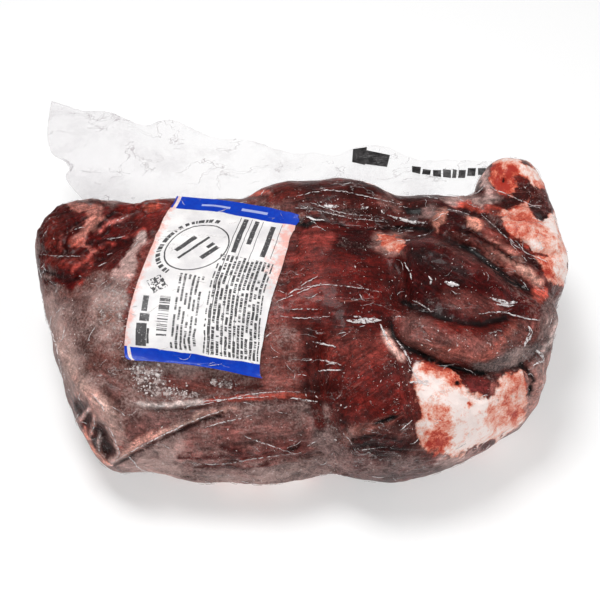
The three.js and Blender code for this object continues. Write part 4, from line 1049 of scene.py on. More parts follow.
def makePrintRows():
    # rows of small plain bars of uneven length, as small print looks from afar
    group, given, result = newGroup(
        "printRows",
        {"Map": vectorSocket, "Pitch": floatSocket, "Ink": floatSocket, "Word": floatSocket},
        {"Mask": floatSocket},
    )
    axes = addNode(group, "ShaderNodeSeparateXYZ", {0: given["Map"]}).outputs
    row = addMath(group, "DIVIDE", axes[0], given["Pitch"])
    inRow = addMath(group, "LESS_THAN", addMath(group, "FRACT", row), given["Ink"])
    number = addMath(group, "FLOOR", row)
    words = addNode(group, "ShaderNodeCombineXYZ", {0: addMath(group, "MULTIPLY", number, 7.31), 1: addMath(group, "DIVIDE", axes[1], given["Word"])})
    lengths = addNoise(group, words.outputs[0], 1.0, 0.0, 0.5)
    lettered = addNode(group, "ShaderNodeCombineXYZ", {0: addMath(group, "MULTIPLY", number, 3.7), 1: addMath(group, "MULTIPLY", axes[1], 1.7)})
    broken = addMath(group, "GREATER_THAN", addNoise(group, lettered.outputs[0], 1.0, 1.0, 0.6), 0.4)
    mask = addMath(group, "MULTIPLY", inRow, addMath(group, "GREATER_THAN", lengths, 0.38))
    group.links.new(addMath(group, "MULTIPLY", mask, broken), result["Mask"])
    return group


def makeLabelMaterial():
    material, tree, shader = newMaterial("printedPaper")
    uvMap = addNode(tree, "ShaderNodeUVMap", uv_map="labelMap").outputs[0]
    size = addNode(tree, "ShaderNodeVectorMath", {0: uvMap, 3: 100.0}, operation="SCALE").outputs[0]
    place = addNode(tree, "ShaderNodeTexCoord").outputs["Object"]
    fieldGroup, rowsGroup = makePrintField(), makePrintRows()
    axes = addNode(tree, "ShaderNodeSeparateXYZ", {0: size}).outputs
    lean = labelPrint["lean"]
    below = addMath(tree, "MAXIMUM", addMath(tree, "SUBTRACT", lean["below"], axes[1]), 0.0)
    leant = addMath(tree, "SUBTRACT", axes[0], addMath(tree, "MULTIPLY", below, lean["share"]))
    leaning = addNode(tree, "ShaderNodeCombineXYZ", {0: leant, 1: axes[1]}).outputs[0]

    def field(edges, within=None):
        within = within or leaning
        names = ("Left", "Front", "Right", "Back")
        return useGroup(tree, fieldGroup, {"Map": within, **dict(zip(names, edges))})["Mask"]

    def joined(masks):
        total = masks[0]
        for mask in masks[1:]:
            total = addMath(tree, "MAXIMUM", total, mask)
        return total

    # paper with faint cockles, and pink juice drawn in from its edges
    cockle = addNoise(tree, place, 60.0, 4.0, 0.55)
    paper = addMix(tree, addRange(tree, cockle, 0.3, 0.7), shade((214, 211, 212)), shade((238, 235, 234)))
    rightEdge = addRange(tree, axes[0], 66.0, 90.0)
    leftEdge = addRange(tree, axes[0], 9.0, -1.0)
    edge = addMath(tree, "MAXIMUM", addMath(tree, "MULTIPLY", rightEdge, addRange(tree, axes[1], 40.0, 90.0)), addMath(tree, "MULTIPLY", leftEdge, 0.9))
    stain = addMath(tree, "ADD", edge, addRange(tree, addNoise(tree, place, 170.0, 7.0, 0.72), 0.3, 0.7, -0.75, 0.35, smooth=False))
    stain = addRange(tree, stain, 0.15, 0.85)
    paper = addMix(tree, addMath(tree, "MULTIPLY", stain, 0.8), paper, shade((232, 160, 146)))

    ring = labelPrint["ring"]
    turned = addNode(tree, "ShaderNodeMapping", {0: size, 1: (ring["at"][0], ring["at"][1], 0), 2: (0, 0, math.radians(ring["turn"])), 3: (ring["long"], ring["short"], 1)}, vector_type="TEXTURE")
    radius = addNode(tree, "ShaderNodeVectorMath", {0: turned.outputs[0]}, operation="LENGTH").outputs[1]
    ringMask = addMath(tree, "LESS_THAN", addMath(tree, "ABSOLUTE", addMath(tree, "SUBTRACT", radius, 1.0)), ring["line"] / 2)
    ringBars = joined([field(edges, turned.outputs[0]) for edges in labelPrint["ringBars"]])
    tiltX, tiltY = addNode(tree, "ShaderNodeSeparateXYZ", {0: turned.outputs[0]}).outputs[:2]
    rimTurn = addMath(tree, "MULTIPLY", addMath(tree, "ARCTAN2", tiltY, tiltX), 11.0)
    rimTicks = addMath(tree, "GREATER_THAN", addNode(tree, "ShaderNodeTexNoise", {1: rimTurn, 2: 1.0, 3: 1.0}, noise_dimensions="1D").outputs[0], 0.46)
    rim = labelPrint["ringRim"]
    rimBand = addMath(tree, "MULTIPLY", addMath(tree, "GREATER_THAN", radius, rim["from"]), addMath(tree, "LESS_THAN", radius, rim["to"]))
    rimSide = addMath(tree, "GREATER_THAN", addMath(tree, "SUBTRACT", tiltY, addMath(tree, "MULTIPLY", tiltX, 0.25)), 0.1)
    ringMask = joined([ringMask, ringBars, addMath(tree, "MULTIPLY", rimTicks, addMath(tree, "MULTIPLY", rimBand, rimSide))])

    dense, thin = labelPrint["denseRows"], labelPrint["thinRows"]
    denseRows = useGroup(tree, rowsGroup, {"Map": leaning, "Pitch": dense["pitch"], "Ink": dense["ink"], "Word": dense["word"]})["Mask"]
    thinRows = useGroup(tree, rowsGroup, {"Map": leaning, "Pitch": thin["pitch"], "Ink": thin["ink"], "Word": thin["word"]})["Mask"]
    bars = addMath(tree, "GREATER_THAN", addNode(tree, "ShaderNodeTexWhiteNoise", {1: addMath(tree, "FLOOR", addMath(tree, "MULTIPLY", axes[1], 2.1))}, noise_dimensions="1D").outputs[0], 0.45)
    chequer = labelPrint["chequer"]
    chequered = addNode(tree, "ShaderNodeMapping", {0: leaning, 1: (*chequer["at"], 0), 2: (0, 0, math.radians(chequer["turn"])), 3: (1, 1, 1)}, vector_type="TEXTURE").outputs[0]
    snapped = addNode(tree, "ShaderNodeVectorMath", {0: chequered, 1: (chequer["cell"], chequer["cell"], 10.0)}, operation="SNAP").outputs[0]
    chequerField = field((-chequer["half"], -chequer["half"], chequer["half"], chequer["half"]), chequered)
    squares = addMath(tree, "GREATER_THAN", addNode(tree, "ShaderNodeTexWhiteNoise", {0: snapped}, noise_dimensions="3D").outputs[0], 0.5)
    black = joined(
        [
            ringMask,
            addMath(tree, "MULTIPLY", field(dense["field"]), denseRows),
            addMath(tree, "MULTIPLY", field(thin["field"]), thinRows),
            addMath(tree, "MULTIPLY", field(labelPrint["barcode"]), bars),
            addMath(tree, "MULTIPLY", chequerField, squares),
            *[field(edges) for edges in labelPrint["heading"]],
            *[field(edges) for edges in labelPrint["numbers"]],
            *[field(edges) for edges in labelPrint["rules"]],
        ]
    )
    rubbed = addRange(tree, addNoise(tree, place, 700.0, 3.0, 0.6), 0.32, 0.42, 0.55, 1.0)
    colour = addMix(tree, addMath(tree, "MULTIPLY", black, addMath(tree, "MULTIPLY", rubbed, 0.93)), paper, shade((30, 28, 32)))
    band = joined([field(labelPrint["bandFront"]), field(labelPrint["bandBack"])])
    strip = joined([field(labelPrint["stripFront"]), field(labelPrint["stripBack"])])
    band = addMath(tree, "MULTIPLY", band, addMath(tree, "SUBTRACT", 1.0, strip))
    blue = addMix(tree, addRange(tree, addNoise(tree, place, 260.0, 5.0, 0.7), 0.35, 0.75), shade((0, 50, 168)), shade((0, 64, 184)))
    colour = addMix(tree, band, colour, blue)
    marks = joined([field(edges) for edges in labelPrint["bandMarks"]])
    colour = addMix(tree, addMath(tree, "MULTIPLY", marks, 0.55), colour, shade((206, 214, 238)))
    tree.links.new(colour, shader.inputs["Base Color"])
    shader.inputs["Roughness"].default_value = 0.5
    shader.inputs["Specular IOR Level"].default_value = 0.12
    shader.inputs["Coat Weight"].default_value = 0.08
    shader.inputs["Coat Roughness"].default_value = 0.12
    creases = addNoise(tree, place, 130.0, 6.0, 0.6)
    bump = addNode(tree, "ShaderNodeBump", {"Strength": 0.35, "Distance": 0.0012, "Height": creases})
    tree.links.new(bump.outputs[0], shader.inputs["Normal"])
    return material


# The clear film clings to the meat and the label, and bridges the folds between the muscles
filmShape = {
    "cuts": 2,
    "smoothRounds": 30,
    "gap": 0.0009,
    "labelGap": 0.0005,
}


def shapeFilm(meat, label):
    piece = copyNode("meat", "clearFilm")
    subdivide(piece, filmShape["cuts"])
    smooth = piece.modifiers.new("stretchOver", "SMOOTH")
    smooth.iterations = filmShape["smoothRounds"]
    smooth.factor = 0.5
    wrap = piece.modifiers.new("cling", "SHRINKWRAP")
    wrap.target = meat
    wrap.wrap_method = "NEAREST_SURFACEPOINT"
    wrap.wrap_mode = "OUTSIDE"
    wrap.offset = filmShape["gap"]
    applyModifiers(piece)
    points = readPoints(piece)
    labelTree = treeOf(label)
    for i, point in enumerate(points):
        on, normal, _, gap = labelTree.find_nearest(Vector(point), 0.004)
        if on is not None:
            if normal.z < 0:
                normal = -normal
            short = filmShape["labelGap"] - (Vector(point) - on).dot(normal)
            if short > 0 and (Vector(point) - on).length < 0.003:
                points[i] = Vector(point) + normal * short
    points[:, 2] = np.maximum(points[:, 2], 0.0)
    writePoints(piece, points)
    return piece


def makeFilmMaterial(name, base, rim, hazeScale):
    material, tree, shader = newMaterial(name)
    place = addNode(tree, "ShaderNodeTexCoord").outputs["Object"]
    pulled = addNode(tree, "ShaderNodeMapping", {0: place, 3: (0.14, 1.0, 1.0)}).outputs[0]
    # white crease lines in the film: partly its own whitened creases, partly painted glints
    lines = useGroup(tree, groups["threads"], {"Place": pulled, "Scale": 120.0, "Width": 0.007, "Share": 0.42})["Mask"]
    cross = useGroup(tree, groups["threads"], {"Place": place, "Scale": 60.0, "Width": 0.004, "Share": 0.38})["Mask"]
    haze = addRange(tree, addNoise(tree, place, hazeScale, 6.0, 0.65), 0.55, 0.85, 0.0, 0.03)
    alpha = addMath(tree, "ADD", base, haze)
    alpha = addMath(tree, "ADD", alpha, addMath(tree, "MULTIPLY", lines, 0.34))
    alpha = addMath(tree, "ADD", alpha, addMath(tree, "MULTIPLY", cross, 0.22))
    # painted sheen: the white film grows more opaque at grazing angles, in place of its reflection
    grazing = addNode(tree, "ShaderNodeLayerWeight", {0: 0.22}).outputs["Facing"]
    alpha = addMath(tree, "ADD", alpha, addMath(tree, "MULTIPLY", grazing, rim), clamp=True)
    tree.links.new(alpha, shader.inputs["Alpha"])
    shader.inputs["Base Color"].default_value = shade((236, 232, 231))
    shader.inputs["Roughness"].default_value = 0.12
    shader.inputs["IOR"].default_value = 1.5
    bump = addNode(tree, "ShaderNodeBump", {"Strength": 0.5, "Distance": 0.0008, "Height": addNoise(tree, pulled, 160.0, 4.0, 0.6)})
    tree.links.new(bump.outputs[0], shader.inputs["Normal"])
    return material


# Pleats of the film: narrow tents that catch the light; their white is partly the film's whitened creases and partly
# painted glints. Lines are in the photograph's pixels, with a half width and a height in millimetres.
pleats = {
    "roundBright": {"line": [(490, 298), (500, 301), (508, 303), (518, 302)], "width": 1.5, "height": 0.7},
    "roundBrightLow": {"line": [(494, 303), (506, 306), (514, 305)], "width": 0.7, "height": 0.5},
    "roundPatch": {"line": [(445, 282), (452, 284), (459, 285)], "width": 1.5, "height": 0.5},
    "backPatchLeft": {"line": [(324, 205), (331, 206), (339, 206)], "width": 1.6, "height": 0.5},
    "backPatchRight": {"line": [(361, 207), (364, 208), (369, 207)], "width": 1.0, "height": 0.5},
    "backSeam": {"line": [(388, 215), (400, 219), (414, 222), (428, 223)], "width": 1.2, "height": 0.8},
    "labelCorner": {"line": [(306, 216), (314, 219), (324, 220)], "width": 0.9, "height": 0.5},
    "lowerPatch": {"line": [(347, 320), (360, 321), (370, 320), (381, 320)], "width": 1.9, "height": 0.6},
    "lowerPatchSmall": {"line": [(354, 316), (362, 317)], "width": 0.7, "height": 0.4},
    "roundSide": {"line": [(409, 382), (418, 382), (429, 381)], "width": 1.0, "height": 0.4},
    "centreLine": {"line": [(290, 309), (304, 309), (318, 310)], "width": 0.45, "height": 0.4},
    "centreArc": {"line": [(290, 292), (312, 286), (336, 285), (360, 288), (382, 292)], "width": 0.4, "height": 0.4},
    "centreRayA": {"line": [(276, 302), (300, 292), (322, 283)], "width": 0.35, "height": 0.3},
    "centreRayB": {"line": [(280, 316), (304, 318), (330, 316)], "width": 0.35, "height": 0.3},
    "centreRayC": {"line": [(286, 296), (300, 286), (318, 276)], "width": 0.35, "height": 0.3},
    "throatStreakA": {"line": [(313, 342), (324, 344), (336, 347)], "width": 0.6, "height": 0.4},
    "throatStreakB": {"line": [(320, 360), (330, 362), (341, 365)], "width": 0.6, "height": 0.4},
    "throatStreakC": {"line": [(318, 371), (330, 370), (342, 370)], "width": 0.5, "height": 0.4},
    "lowLeftStreak": {"line": [(290, 398), (304, 400), (318, 402)], "width": 0.6, "height": 0.4},
    "seamBesideFat": {"line": [(380, 324), (384, 332), (388, 342), (394, 350)], "width": 0.9, "height": 0.6},
    "seamStrands": {"line": [(396, 340), (404, 350), (411, 364)], "width": 0.7, "height": 0.6},
    "seamToFat": {"line": [(407, 360), (420, 381), (430, 384)], "width": 0.6, "height": 0.4},
    "rightFoldA": {"line": [(528, 326), (531, 333), (527, 341), (524, 347)], "width": 1.5, "height": 0.6},
    "rightFoldB": {"line": [(536, 351), (541, 354), (545, 362)], "width": 1.5, "height": 0.6},
    "rightFoldC": {"line": [(533, 366), (538, 363), (544, 362)], "width": 0.8, "height": 0.5},
    "knobRayA": {"line": [(490, 186), (498, 191), (508, 194)], "width": 0.22, "height": 0.2},
    "knobRayC": {"line": [(490, 186), (520, 200), (540, 208)], "width": 0.18, "height": 0.25},
    "stripLineA": {"line": [(480, 213), (500, 231), (515, 248), (528, 262)], "width": 0.24, "height": 0.3},
    "stripLineB": {"line": [(452, 231), (470, 236), (484, 243)], "width": 0.3, "height": 0.3},
    "stripLineC": {"line": [(504, 236), (522, 250), (548, 262)], "width": 0.3, "height": 0.4},
    "backFoldA": {"line": [(450, 190), (462, 200), (474, 206), (486, 210)], "width": 0.28, "height": 0.35},
    "backFoldB": {"line": [(458, 196), (474, 194), (486, 184)], "width": 0.28, "height": 0.35},
    "backLineA": {"line": [(296, 196), (330, 190), (366, 196), (400, 204)], "width": 0.35, "height": 0.3},
    "backLineB": {"line": [(310, 202), (340, 212), (372, 216)], "width": 0.35, "height": 0.3},
    "backLineC": {"line": [(300, 206), (326, 212), (352, 218), (388, 222)], "width": 0.35, "height": 0.3},
    "ridgeLineA": {"line": [(132, 402), (160, 406), (200, 402), (240, 398), (290, 396)], "width": 0.5, "height": 0.4},
    "ridgeLineB": {"line": [(111, 464), (134, 450), (158, 438), (182, 426), (204, 417), (227, 409)], "width": 0.4, "height": 0.35},
    "rollLineA": {"line": [(244, 436), (256, 441), (268, 445), (295, 454)], "width": 0.4, "height": 0.3},
    "rollLineB": {"line": [(192, 464), (221, 464), (255, 459), (301, 453)], "width": 0.4, "height": 0.3},
    "rollLineC": {"line": [(204, 428), (220, 423), (238, 419), (257, 413)], "width": 0.35, "height": 0.25},
    "ridgeLineC": {"line": [(170, 409), (210, 403), (260, 393), (300, 392)], "width": 0.3, "height": 0.3},
    "pocketA": {"line": [(75, 422), (86, 414), (89, 409)], "width": 0.4, "height": 0.35},
    "pocketB": {"line": [(101, 433), (99, 442), (99, 451), (103, 456)], "width": 0.4, "height": 0.35},
    "pocketC": {"line": [(94, 417), (94, 426), (90, 433)], "width": 0.35, "height": 0.3},
    "pocketD": {"line": [(109, 427), (114, 438), (117, 447), (119, 455), (110, 463)], "width": 0.28, "height": 0.35},
    "rollCrease": {"line": [(128, 456), (134, 462), (140, 469), (156, 474)], "width": 0.45, "height": 0.35},
    "slabVeinA": {"line": [(91, 393), (98, 401), (105, 412)], "width": 0.3, "height": 0.25},
    "slabVeinB": {"line": [(112, 407), (119, 411), (125, 416)], "width": 0.3, "height": 0.25},
    "cragVeinA": {"line": [(109, 225), (118, 220), (128, 216)], "width": 0.3, "height": 0.3},
    "cragVeinB": {"line": [(109, 239), (120, 237), (130, 234)], "width": 0.3, "height": 0.3},
    "slabCornerLeft": {"line": [(41, 292), (46, 316), (56, 346), (62, 376)], "width": 0.5, "height": 0.4},
    "cragLine": {"line": [(38, 254), (60, 256), (80, 256)], "width": 0.2, "height": 0.25},
    "roundLineA": {"line": [(478, 314), (500, 312), (526, 318), (540, 320)], "width": 0.5, "height": 0.4},
    "roundLineB": {"line": [(412, 300), (424, 306), (432, 312)], "width": 0.4, "height": 0.4},
    "whiteMarkA": {"line": [(404, 262), (409, 272), (412, 280)], "width": 0.5, "height": 0.4},
    "whiteMarkB": {"line": [(428, 276), (431, 280), (430, 284)], "width": 0.8, "height": 0.4},
    "whiteMarkC": {"line": [(358, 292), (361, 298), (352, 300)], "width": 0.4, "height": 0.3},
}


pleatSpare = {"count": 420, "steps": (4, 10), "wander": 0.45, "widths": (0.1, 0.26), "heights": (0.12, 0.3)}


def pointAlong(corners, share):
    # a smooth curve through the corners
    spans = len(corners) - 1
    at = min(int(share * spans), spans - 1)
    t = share * spans - at
    a, b, c, d = (corners[min(max(at + k, 0), spans)] for k in (-1, 0, 1, 2))
    return 0.5 * (2 * b + (c - a) * t + (2 * a - 5 * b + 4 * c - d) * t**2 + (3 * b - a - 3 * c + d) * t**3)


def shapePleats(filmTree, film):
    points, faces = [], []

    def addTent(path, width, height):
        first = len(points)
        last = len(path) - 1
        for k, (on, normal) in enumerate(path):
            ahead = path[min(k + 1, last)][0] - path[max(k - 1, 0)][0]
            side = ahead.cross(normal)
            if side.length < 1e-9:
                side = normal.orthogonal()
            side.normalize()
            taper = math.sin(math.pi * (k + 0.35) / (last + 0.7)) ** 0.7
            half = width * 0.001 * taper * random.uniform(0.7, 1.2)
            rise = height * 0.001 * taper
            for offset, up in ((-1.0, -0.00025), (-0.3, rise * 0.8), (0.3, rise), (1.0, -0.00025)):
                points.append(on + side * half * offset + normal * up)
        for k in range(last):
            a, b = first + 4 * k, first + 4 * k + 4
            faces.extend((a + j, a + j + 1, b + j + 1, b + j) for j in range(3))

    for pleat in pleats.values():
        corners = [np.array(corner, float) for corner in pleat["line"]]
        steps = max(6, int(sum(np.hypot(*(b - a)) for a, b in zip(corners, corners[1:])) / 2))
        path = []
        for k in range(steps + 1):
            pixel = pointAlong(corners, k / steps) + np.array([random.uniform(-0.5, 0.5), random.uniform(-0.5, 0.5)])
            on, normal, _, _ = filmTree.ray_cast(*photoRay(pixel))
            if on is not None:
                path.append((on, normal))
        if len(path) > 3:
            addTent(path, pleat["width"], pleat["height"])

    # short creases of the film all over, also on the sides that the photograph doesn't show
    filmPoints, filmNormals = readPoints(film), readNormals(film)
    for _ in range(pleatSpare["count"]):
        i = random.randrange(len(filmPoints))
        on, normal = Vector(filmPoints[i]), Vector(filmNormals[i])
        if on.z < 0.004:
            continue
        heading = Vector((1, random.uniform(-0.5, 0.5), random.uniform(-0.6, 0.6)))
        if random.random() < 0.3:
            heading = Vector((random.uniform(-1, 1), random.uniform(-1, 1), random.uniform(-1, 1)))
        path = []
        for _ in range(random.randrange(*pleatSpare["steps"])):
            heading = (heading - normal * heading.dot(normal)).normalized()
            path.append((on, normal))
            on, normal, _, _ = filmTree.find_nearest(on + heading * 0.0014)
            heading += Vector([random.uniform(-1, 1) * pleatSpare["wander"] for _ in range(3)])
        addTent(path, random.uniform(*pleatSpare["widths"]), random.uniform(*pleatSpare["heights"]))

    mesh = bpy.data.meshes.new("filmPleats")
    mesh.from_pydata(points, [], faces)
    piece = bpy.data.objects.new("filmPleats", mesh)
    bpy.context.scene.collection.objects.link(piece)
    return piece


def makePleatMaterial():
    material, tree, shader = newMaterial("creasedFilm")
    place = addNode(tree, "ShaderNodeTexCoord").outputs["Object"]
    broken = addRange(tree, addNoise(tree, place, 420.0, 4.0, 0.7), 0.38, 0.56, 0.0, 0.88)
    tree.links.new(broken, shader.inputs["Alpha"])
    # white of the pleats: partly the film's whitened creases, partly painted glints
    tint = addMix(tree, addRange(tree, addNoise(tree, place, 150.0, 3.0, 0.5), 0.3, 0.7), shade((214, 204, 204)), shade((244, 240, 240)))
    tree.links.new(tint, shader.inputs["Base Color"])
    shader.inputs["Roughness"].default_value = 0.18
    return material


# Crumbs of frost, in clusters by the photograph's pixels: middle, half spread and number
frostCrumbs = {
    "belowLabelLeft": {"at": (146, 380), "spread": (16, 12), "count": 60, "size": 0.42, "slim": 0.6},
    "belowLabelLow": {"at": (176, 392), "spread": (16, 5), "count": 40, "size": 0.38, "slim": 0.6},
    "belowLabelCorner": {"at": (136, 368), "spread": (8, 4), "count": 18, "size": 0.36, "slim": 0.6},
    "belowLabelRight": {"at": (222, 382), "spread": (14, 4), "count": 20, "size": 0.36, "slim": 0.6},
    "slabTop": {"at": (118, 300), "spread": (26, 40), "count": 110},
    "slabEdge": {"at": (70, 340), "spread": (22, 45), "count": 70},
    "centre": {"at": (350, 290), "spread": (60, 60), "count": 70},
    "backStrip": {"at": (360, 210), "spread": (60, 16), "count": 130},
    "lowerRound": {"at": (385, 380), "spread": (30, 50), "count": 45},
    "seam": {"at": (400, 380), "spread": (12, 50), "count": 50},
    "upperRound": {"at": (470, 280), "spread": (60, 45), "count": 90},
    "lip": {"at": (480, 345), "spread": (60, 14), "count": 80},
    "knobNeck": {"at": (535, 198), "spread": (16, 10), "count": 50},
    "roll": {"at": (240, 440), "spread": (90, 30), "count": 80},
    "hidden": 900,
    "size": 0.17,
    "slim": 3.0,
}


def shapeCrumbs(meatTree, meat):
    bpy.ops.object.select_all(action="DESELECT")
    bpy.ops.mesh.primitive_ico_sphere_add(subdivisions=1, radius=1.0)
    seed = bpy.context.object
    shell = readPoints(seed)
    sides = [list(polygon.vertices) for polygon in seed.data.polygons]
    bpy.data.objects.remove(seed)
    spots = []
    for cluster in frostCrumbs.values():
        if not isinstance(cluster, dict):
            continue
        for _ in range(cluster["count"]):
            pixel = [random.gauss(middle, spread * 0.6) for middle, spread in zip(cluster["at"], cluster["spread"])]
            on, normal, _, _ = meatTree.ray_cast(*photoRay(pixel))
            if on is not None:
                spots.append((on, normal, cluster.get("size", frostCrumbs["size"]), cluster.get("slim", frostCrumbs["slim"])))
    points, normals = readPoints(meat), readNormals(meat)
    for _ in range(frostCrumbs["hidden"]):
        i = random.randrange(len(points))
        if points[i][2] > 0.004:
            spots.append((Vector(points[i]), Vector(normals[i]), frostCrumbs["size"], frostCrumbs["slim"]))
    allPoints, allFaces = [], []
    for on, normal, wide, slim in spots:
        size = wide * 0.001 * random.lognormvariate(0.0, 0.5)
        tangent = normal.orthogonal().normalized()
        other = normal.cross(tangent)
        turn = random.uniform(0, math.pi)
        one = tangent * math.cos(turn) + other * math.sin(turn)
        two = normal.cross(one)
        stretch = 1.0 + slim * random.random() ** 2
        first = len(allPoints)
        for a, b, c in shell * np.array([stretch, 1.0, 0.5]) * size:
            dent = random.uniform(0.55, 1.3)
            allPoints.append(on + one * a * dent + two * b * dent + normal * (c + size * 0.1))
        allFaces.extend([corner + first for corner in side] for side in sides)
    mesh = bpy.data.meshes.new("frostCrumbs")
    mesh.from_pydata(allPoints, [], allFaces)
    piece = bpy.data.objects.new("frostCrumbs", mesh)
    bpy.context.scene.collection.objects.link(piece)
    return piece


def makeCrumbMaterial():
    material, tree, shader = newMaterial("whiteFrost")
    place = addNode(tree, "ShaderNodeTexCoord").outputs["Object"]
    tint = addMix(tree, addNoise(tree, place, 300.0, 3.0, 0.6), shade((196, 176, 172)), shade((244, 240, 239)))
    tree.links.new(tint, shader.inputs["Base Color"])
    shader.inputs["Roughness"].default_value = 0.45
    return material


# The spare bag behind the meat: a free edge through these places, and a root on the meat between two places
# in X. It waves more and more towards that edge.
tailShape = {
    "freeEdge": [
        (-0.1973, 0.1602, 0.084), (-0.1563, 0.1502, 0.084), (-0.1263, 0.1382, 0.083), (-0.1023, 0.1422, 0.082),
        (-0.0743, 0.1292, 0.082), (-0.0213, 0.1132, 0.082), (0.0237, 0.1012, 0.083), (0.0497, 0.1092, 0.085),
        (0.0757, 0.1042, 0.087), (0.0957, 0.0902, 0.091), (0.1237, 0.0802, 0.098), (0.1637, 0.0742, 0.106),
    ],
    "rootX": (-0.1503, 0.1517),
    "rootZ": (0.084, 0.098),
    "flare": 1.25,
    "waves": 0.003,
    "waveLength": 0.046,
    "waveSlant": 0.6,
    "stillerEnd": 0.6,
    "columns": 260,
    "rows": 56,
    "plyGap": 0.0016,
    "crinkle": 0.0016,
}


def tailPoints(meatTree, along, out):
    edge = [np.array(corner) for corner in tailShape["freeEdge"]]
    shift = np.array([0.0057, -0.0478, 0.0])
    roots, frees = {}, {}
    points = np.zeros((len(along), 3))
    for i, (a, o) in enumerate(zip(along, out)):
        key = round(a, 6)
        if key not in roots:
            x = tailShape["rootX"][0] + (tailShape["rootX"][1] - tailShape["rootX"][0]) * a
            z = tailShape["rootZ"][0] + (tailShape["rootZ"][1] - tailShape["rootZ"][0]) * a * a
            hit = meatTree.ray_cast(Vector((x, 0.3, z)), Vector((0, -1, 0)))[0]
            roots[key] = np.array(hit if hit is not None else (x, 0.02, z))
            frees[key] = pointAlong(edge, a)
        root, free = roots[key], frees[key]
        point = root + (free - root) * o
        spread = math.sin(math.pi / 2 * min(1, o * tailShape["flare"]))
        point[0] = root[0] + (free[0] - root[0]) * spread
        place = point - shift
        wave = math.sin((place[0] + tailShape["waveSlant"] * place[1]) / tailShape["waveLength"] * 2 * math.pi)
        point[2] += tailShape["waves"] * o * wave * (1 - tailShape["stillerEnd"] * a)
        points[i] = point
    return points


def shapeTail(meatTree):
    bpy.ops.object.select_all(action="DESELECT")
    bpy.ops.mesh.primitive_grid_add(x_subdivisions=tailShape["columns"], y_subdivisions=tailShape["rows"], size=1.0)
    piece = bpy.context.object
    piece.name = "spareBag"
    flat = readPoints(piece)
    along, out = flat[:, 0] + 0.5, flat[:, 1] + 0.5
    points = tailPoints(meatTree, along, out)
    # a notch in the cut end at the left, between the two plies of the bag
    notch = np.exp(-(((out - 0.42) / 0.07) ** 2)) * smoothStep(0.03, 0.0, along)
    points[:, 0] += 0.012 * notch
    crinkle = lumps(points, 0.03, 4, 41.0, (0.7, 1.6, 1)) + 0.5 * np.abs(lumps(points, 0.014, 3, 42.0, (0.6, 1.6, 1)))
    points[:, 2] += tailShape["crinkle"] * crinkle * smoothStep(0.0, 0.15, out) * smoothStep(0.0, 0.05, 1 - along)
    for i, point in enumerate(points):
        on, normal, _, _ = meatTree.find_nearest(Vector(point), 0.01)
        if on is not None:
            short = 0.0012 - (Vector(point) - on).dot(normal)
            if short > 0:
                points[i] = Vector(point) + normal * short
    writePoints(piece, points)
    solidify = piece.modifiers.new("twoPlies", "SOLIDIFY")
    solidify.thickness = tailShape["plyGap"]
    solidify.offset = 0.0
    applyModifiers(piece)
    return piece


def makeTailMaterial():
    material, tree, shader = newMaterial("looseFilm")
    place = addNode(tree, "ShaderNodeTexCoord").outputs["Object"]
    pulled = addNode(tree, "ShaderNodeMapping", {0: place, 3: (0.3, 1.0, 1.0)}).outputs[0]
    lines = useGroup(tree, groups["threads"], {"Place": pulled, "Scale": 62.0, "Width": 0.013, "Share": 0.44})["Mask"]
    cross = useGroup(tree, groups["threads"], {"Place": place, "Scale": 42.0, "Width": 0.008, "Share": 0.46})["Mask"]
    cloud = addRange(tree, addNoise(tree, place, 36.0, 5.0, 0.6), 0.42, 0.72, 0.0, 0.16)
    reach = addNode(tree, "ShaderNodeSeparateXYZ", {0: place}).outputs[0]
    cloud = addMath(tree, "ADD", cloud, addRange(tree, reach, -0.04, -0.19, 0.0, 0.16))
    alpha = addMath(tree, "ADD", 0.06, cloud)
    alpha = addMath(tree, "ADD", alpha, addMath(tree, "MULTIPLY", lines, 0.26))
    alpha = addMath(tree, "ADD", alpha, addMath(tree, "MULTIPLY", cross, 0.34), clamp=True)
    tree.links.new(alpha, shader.inputs["Alpha"])
    dark = addMath(tree, "MAXIMUM", lines, cross)
    colour = addMix(tree, addMath(tree, "MULTIPLY", dark, 0.9), shade((214, 210, 213)), shade((140, 128, 132)))
    tree.links.new(colour, shader.inputs["Base Color"])
    shader.inputs["Roughness"].default_value = 0.15
    bump = addNode(tree, "ShaderNodeBump", {"Strength": 0.6, "Distance": 0.0012, "Height": addNoise(tree, pulled, 90.0, 5.0, 0.6)})
    tree.links.new(bump.outputs[0], shader.inputs["Normal"])
    return material


# Black print on the spare bag: a plain patch, and a row of plain bars, by the photograph's pixels
tailInk = {
    "patch": [[(353, 149), (367, 147), (365, 165), (352, 162)], [(366, 150), (390, 155), (387, 167), (365, 164)]],
    "bars": [
        [(412, 166), (421, 167), (420, 174), (412, 172)], [(423, 169), (431, 170), (430, 175), (422, 174)],
        [(433, 170), (441, 170), (441, 177), (433, 176)], [(443, 169), (451, 170), (451, 178), (443, 177)],
        [(453, 169), (457, 170), (456, 178), (452, 178)], [(459, 170), (466, 170), (465, 178), (458, 178)],
        [(468, 168), (476, 168), (475, 176), (467, 176)], [(478, 168), (486, 168), (486, 175), (478, 175)],
    ],
    "lift": 0.0014,
}


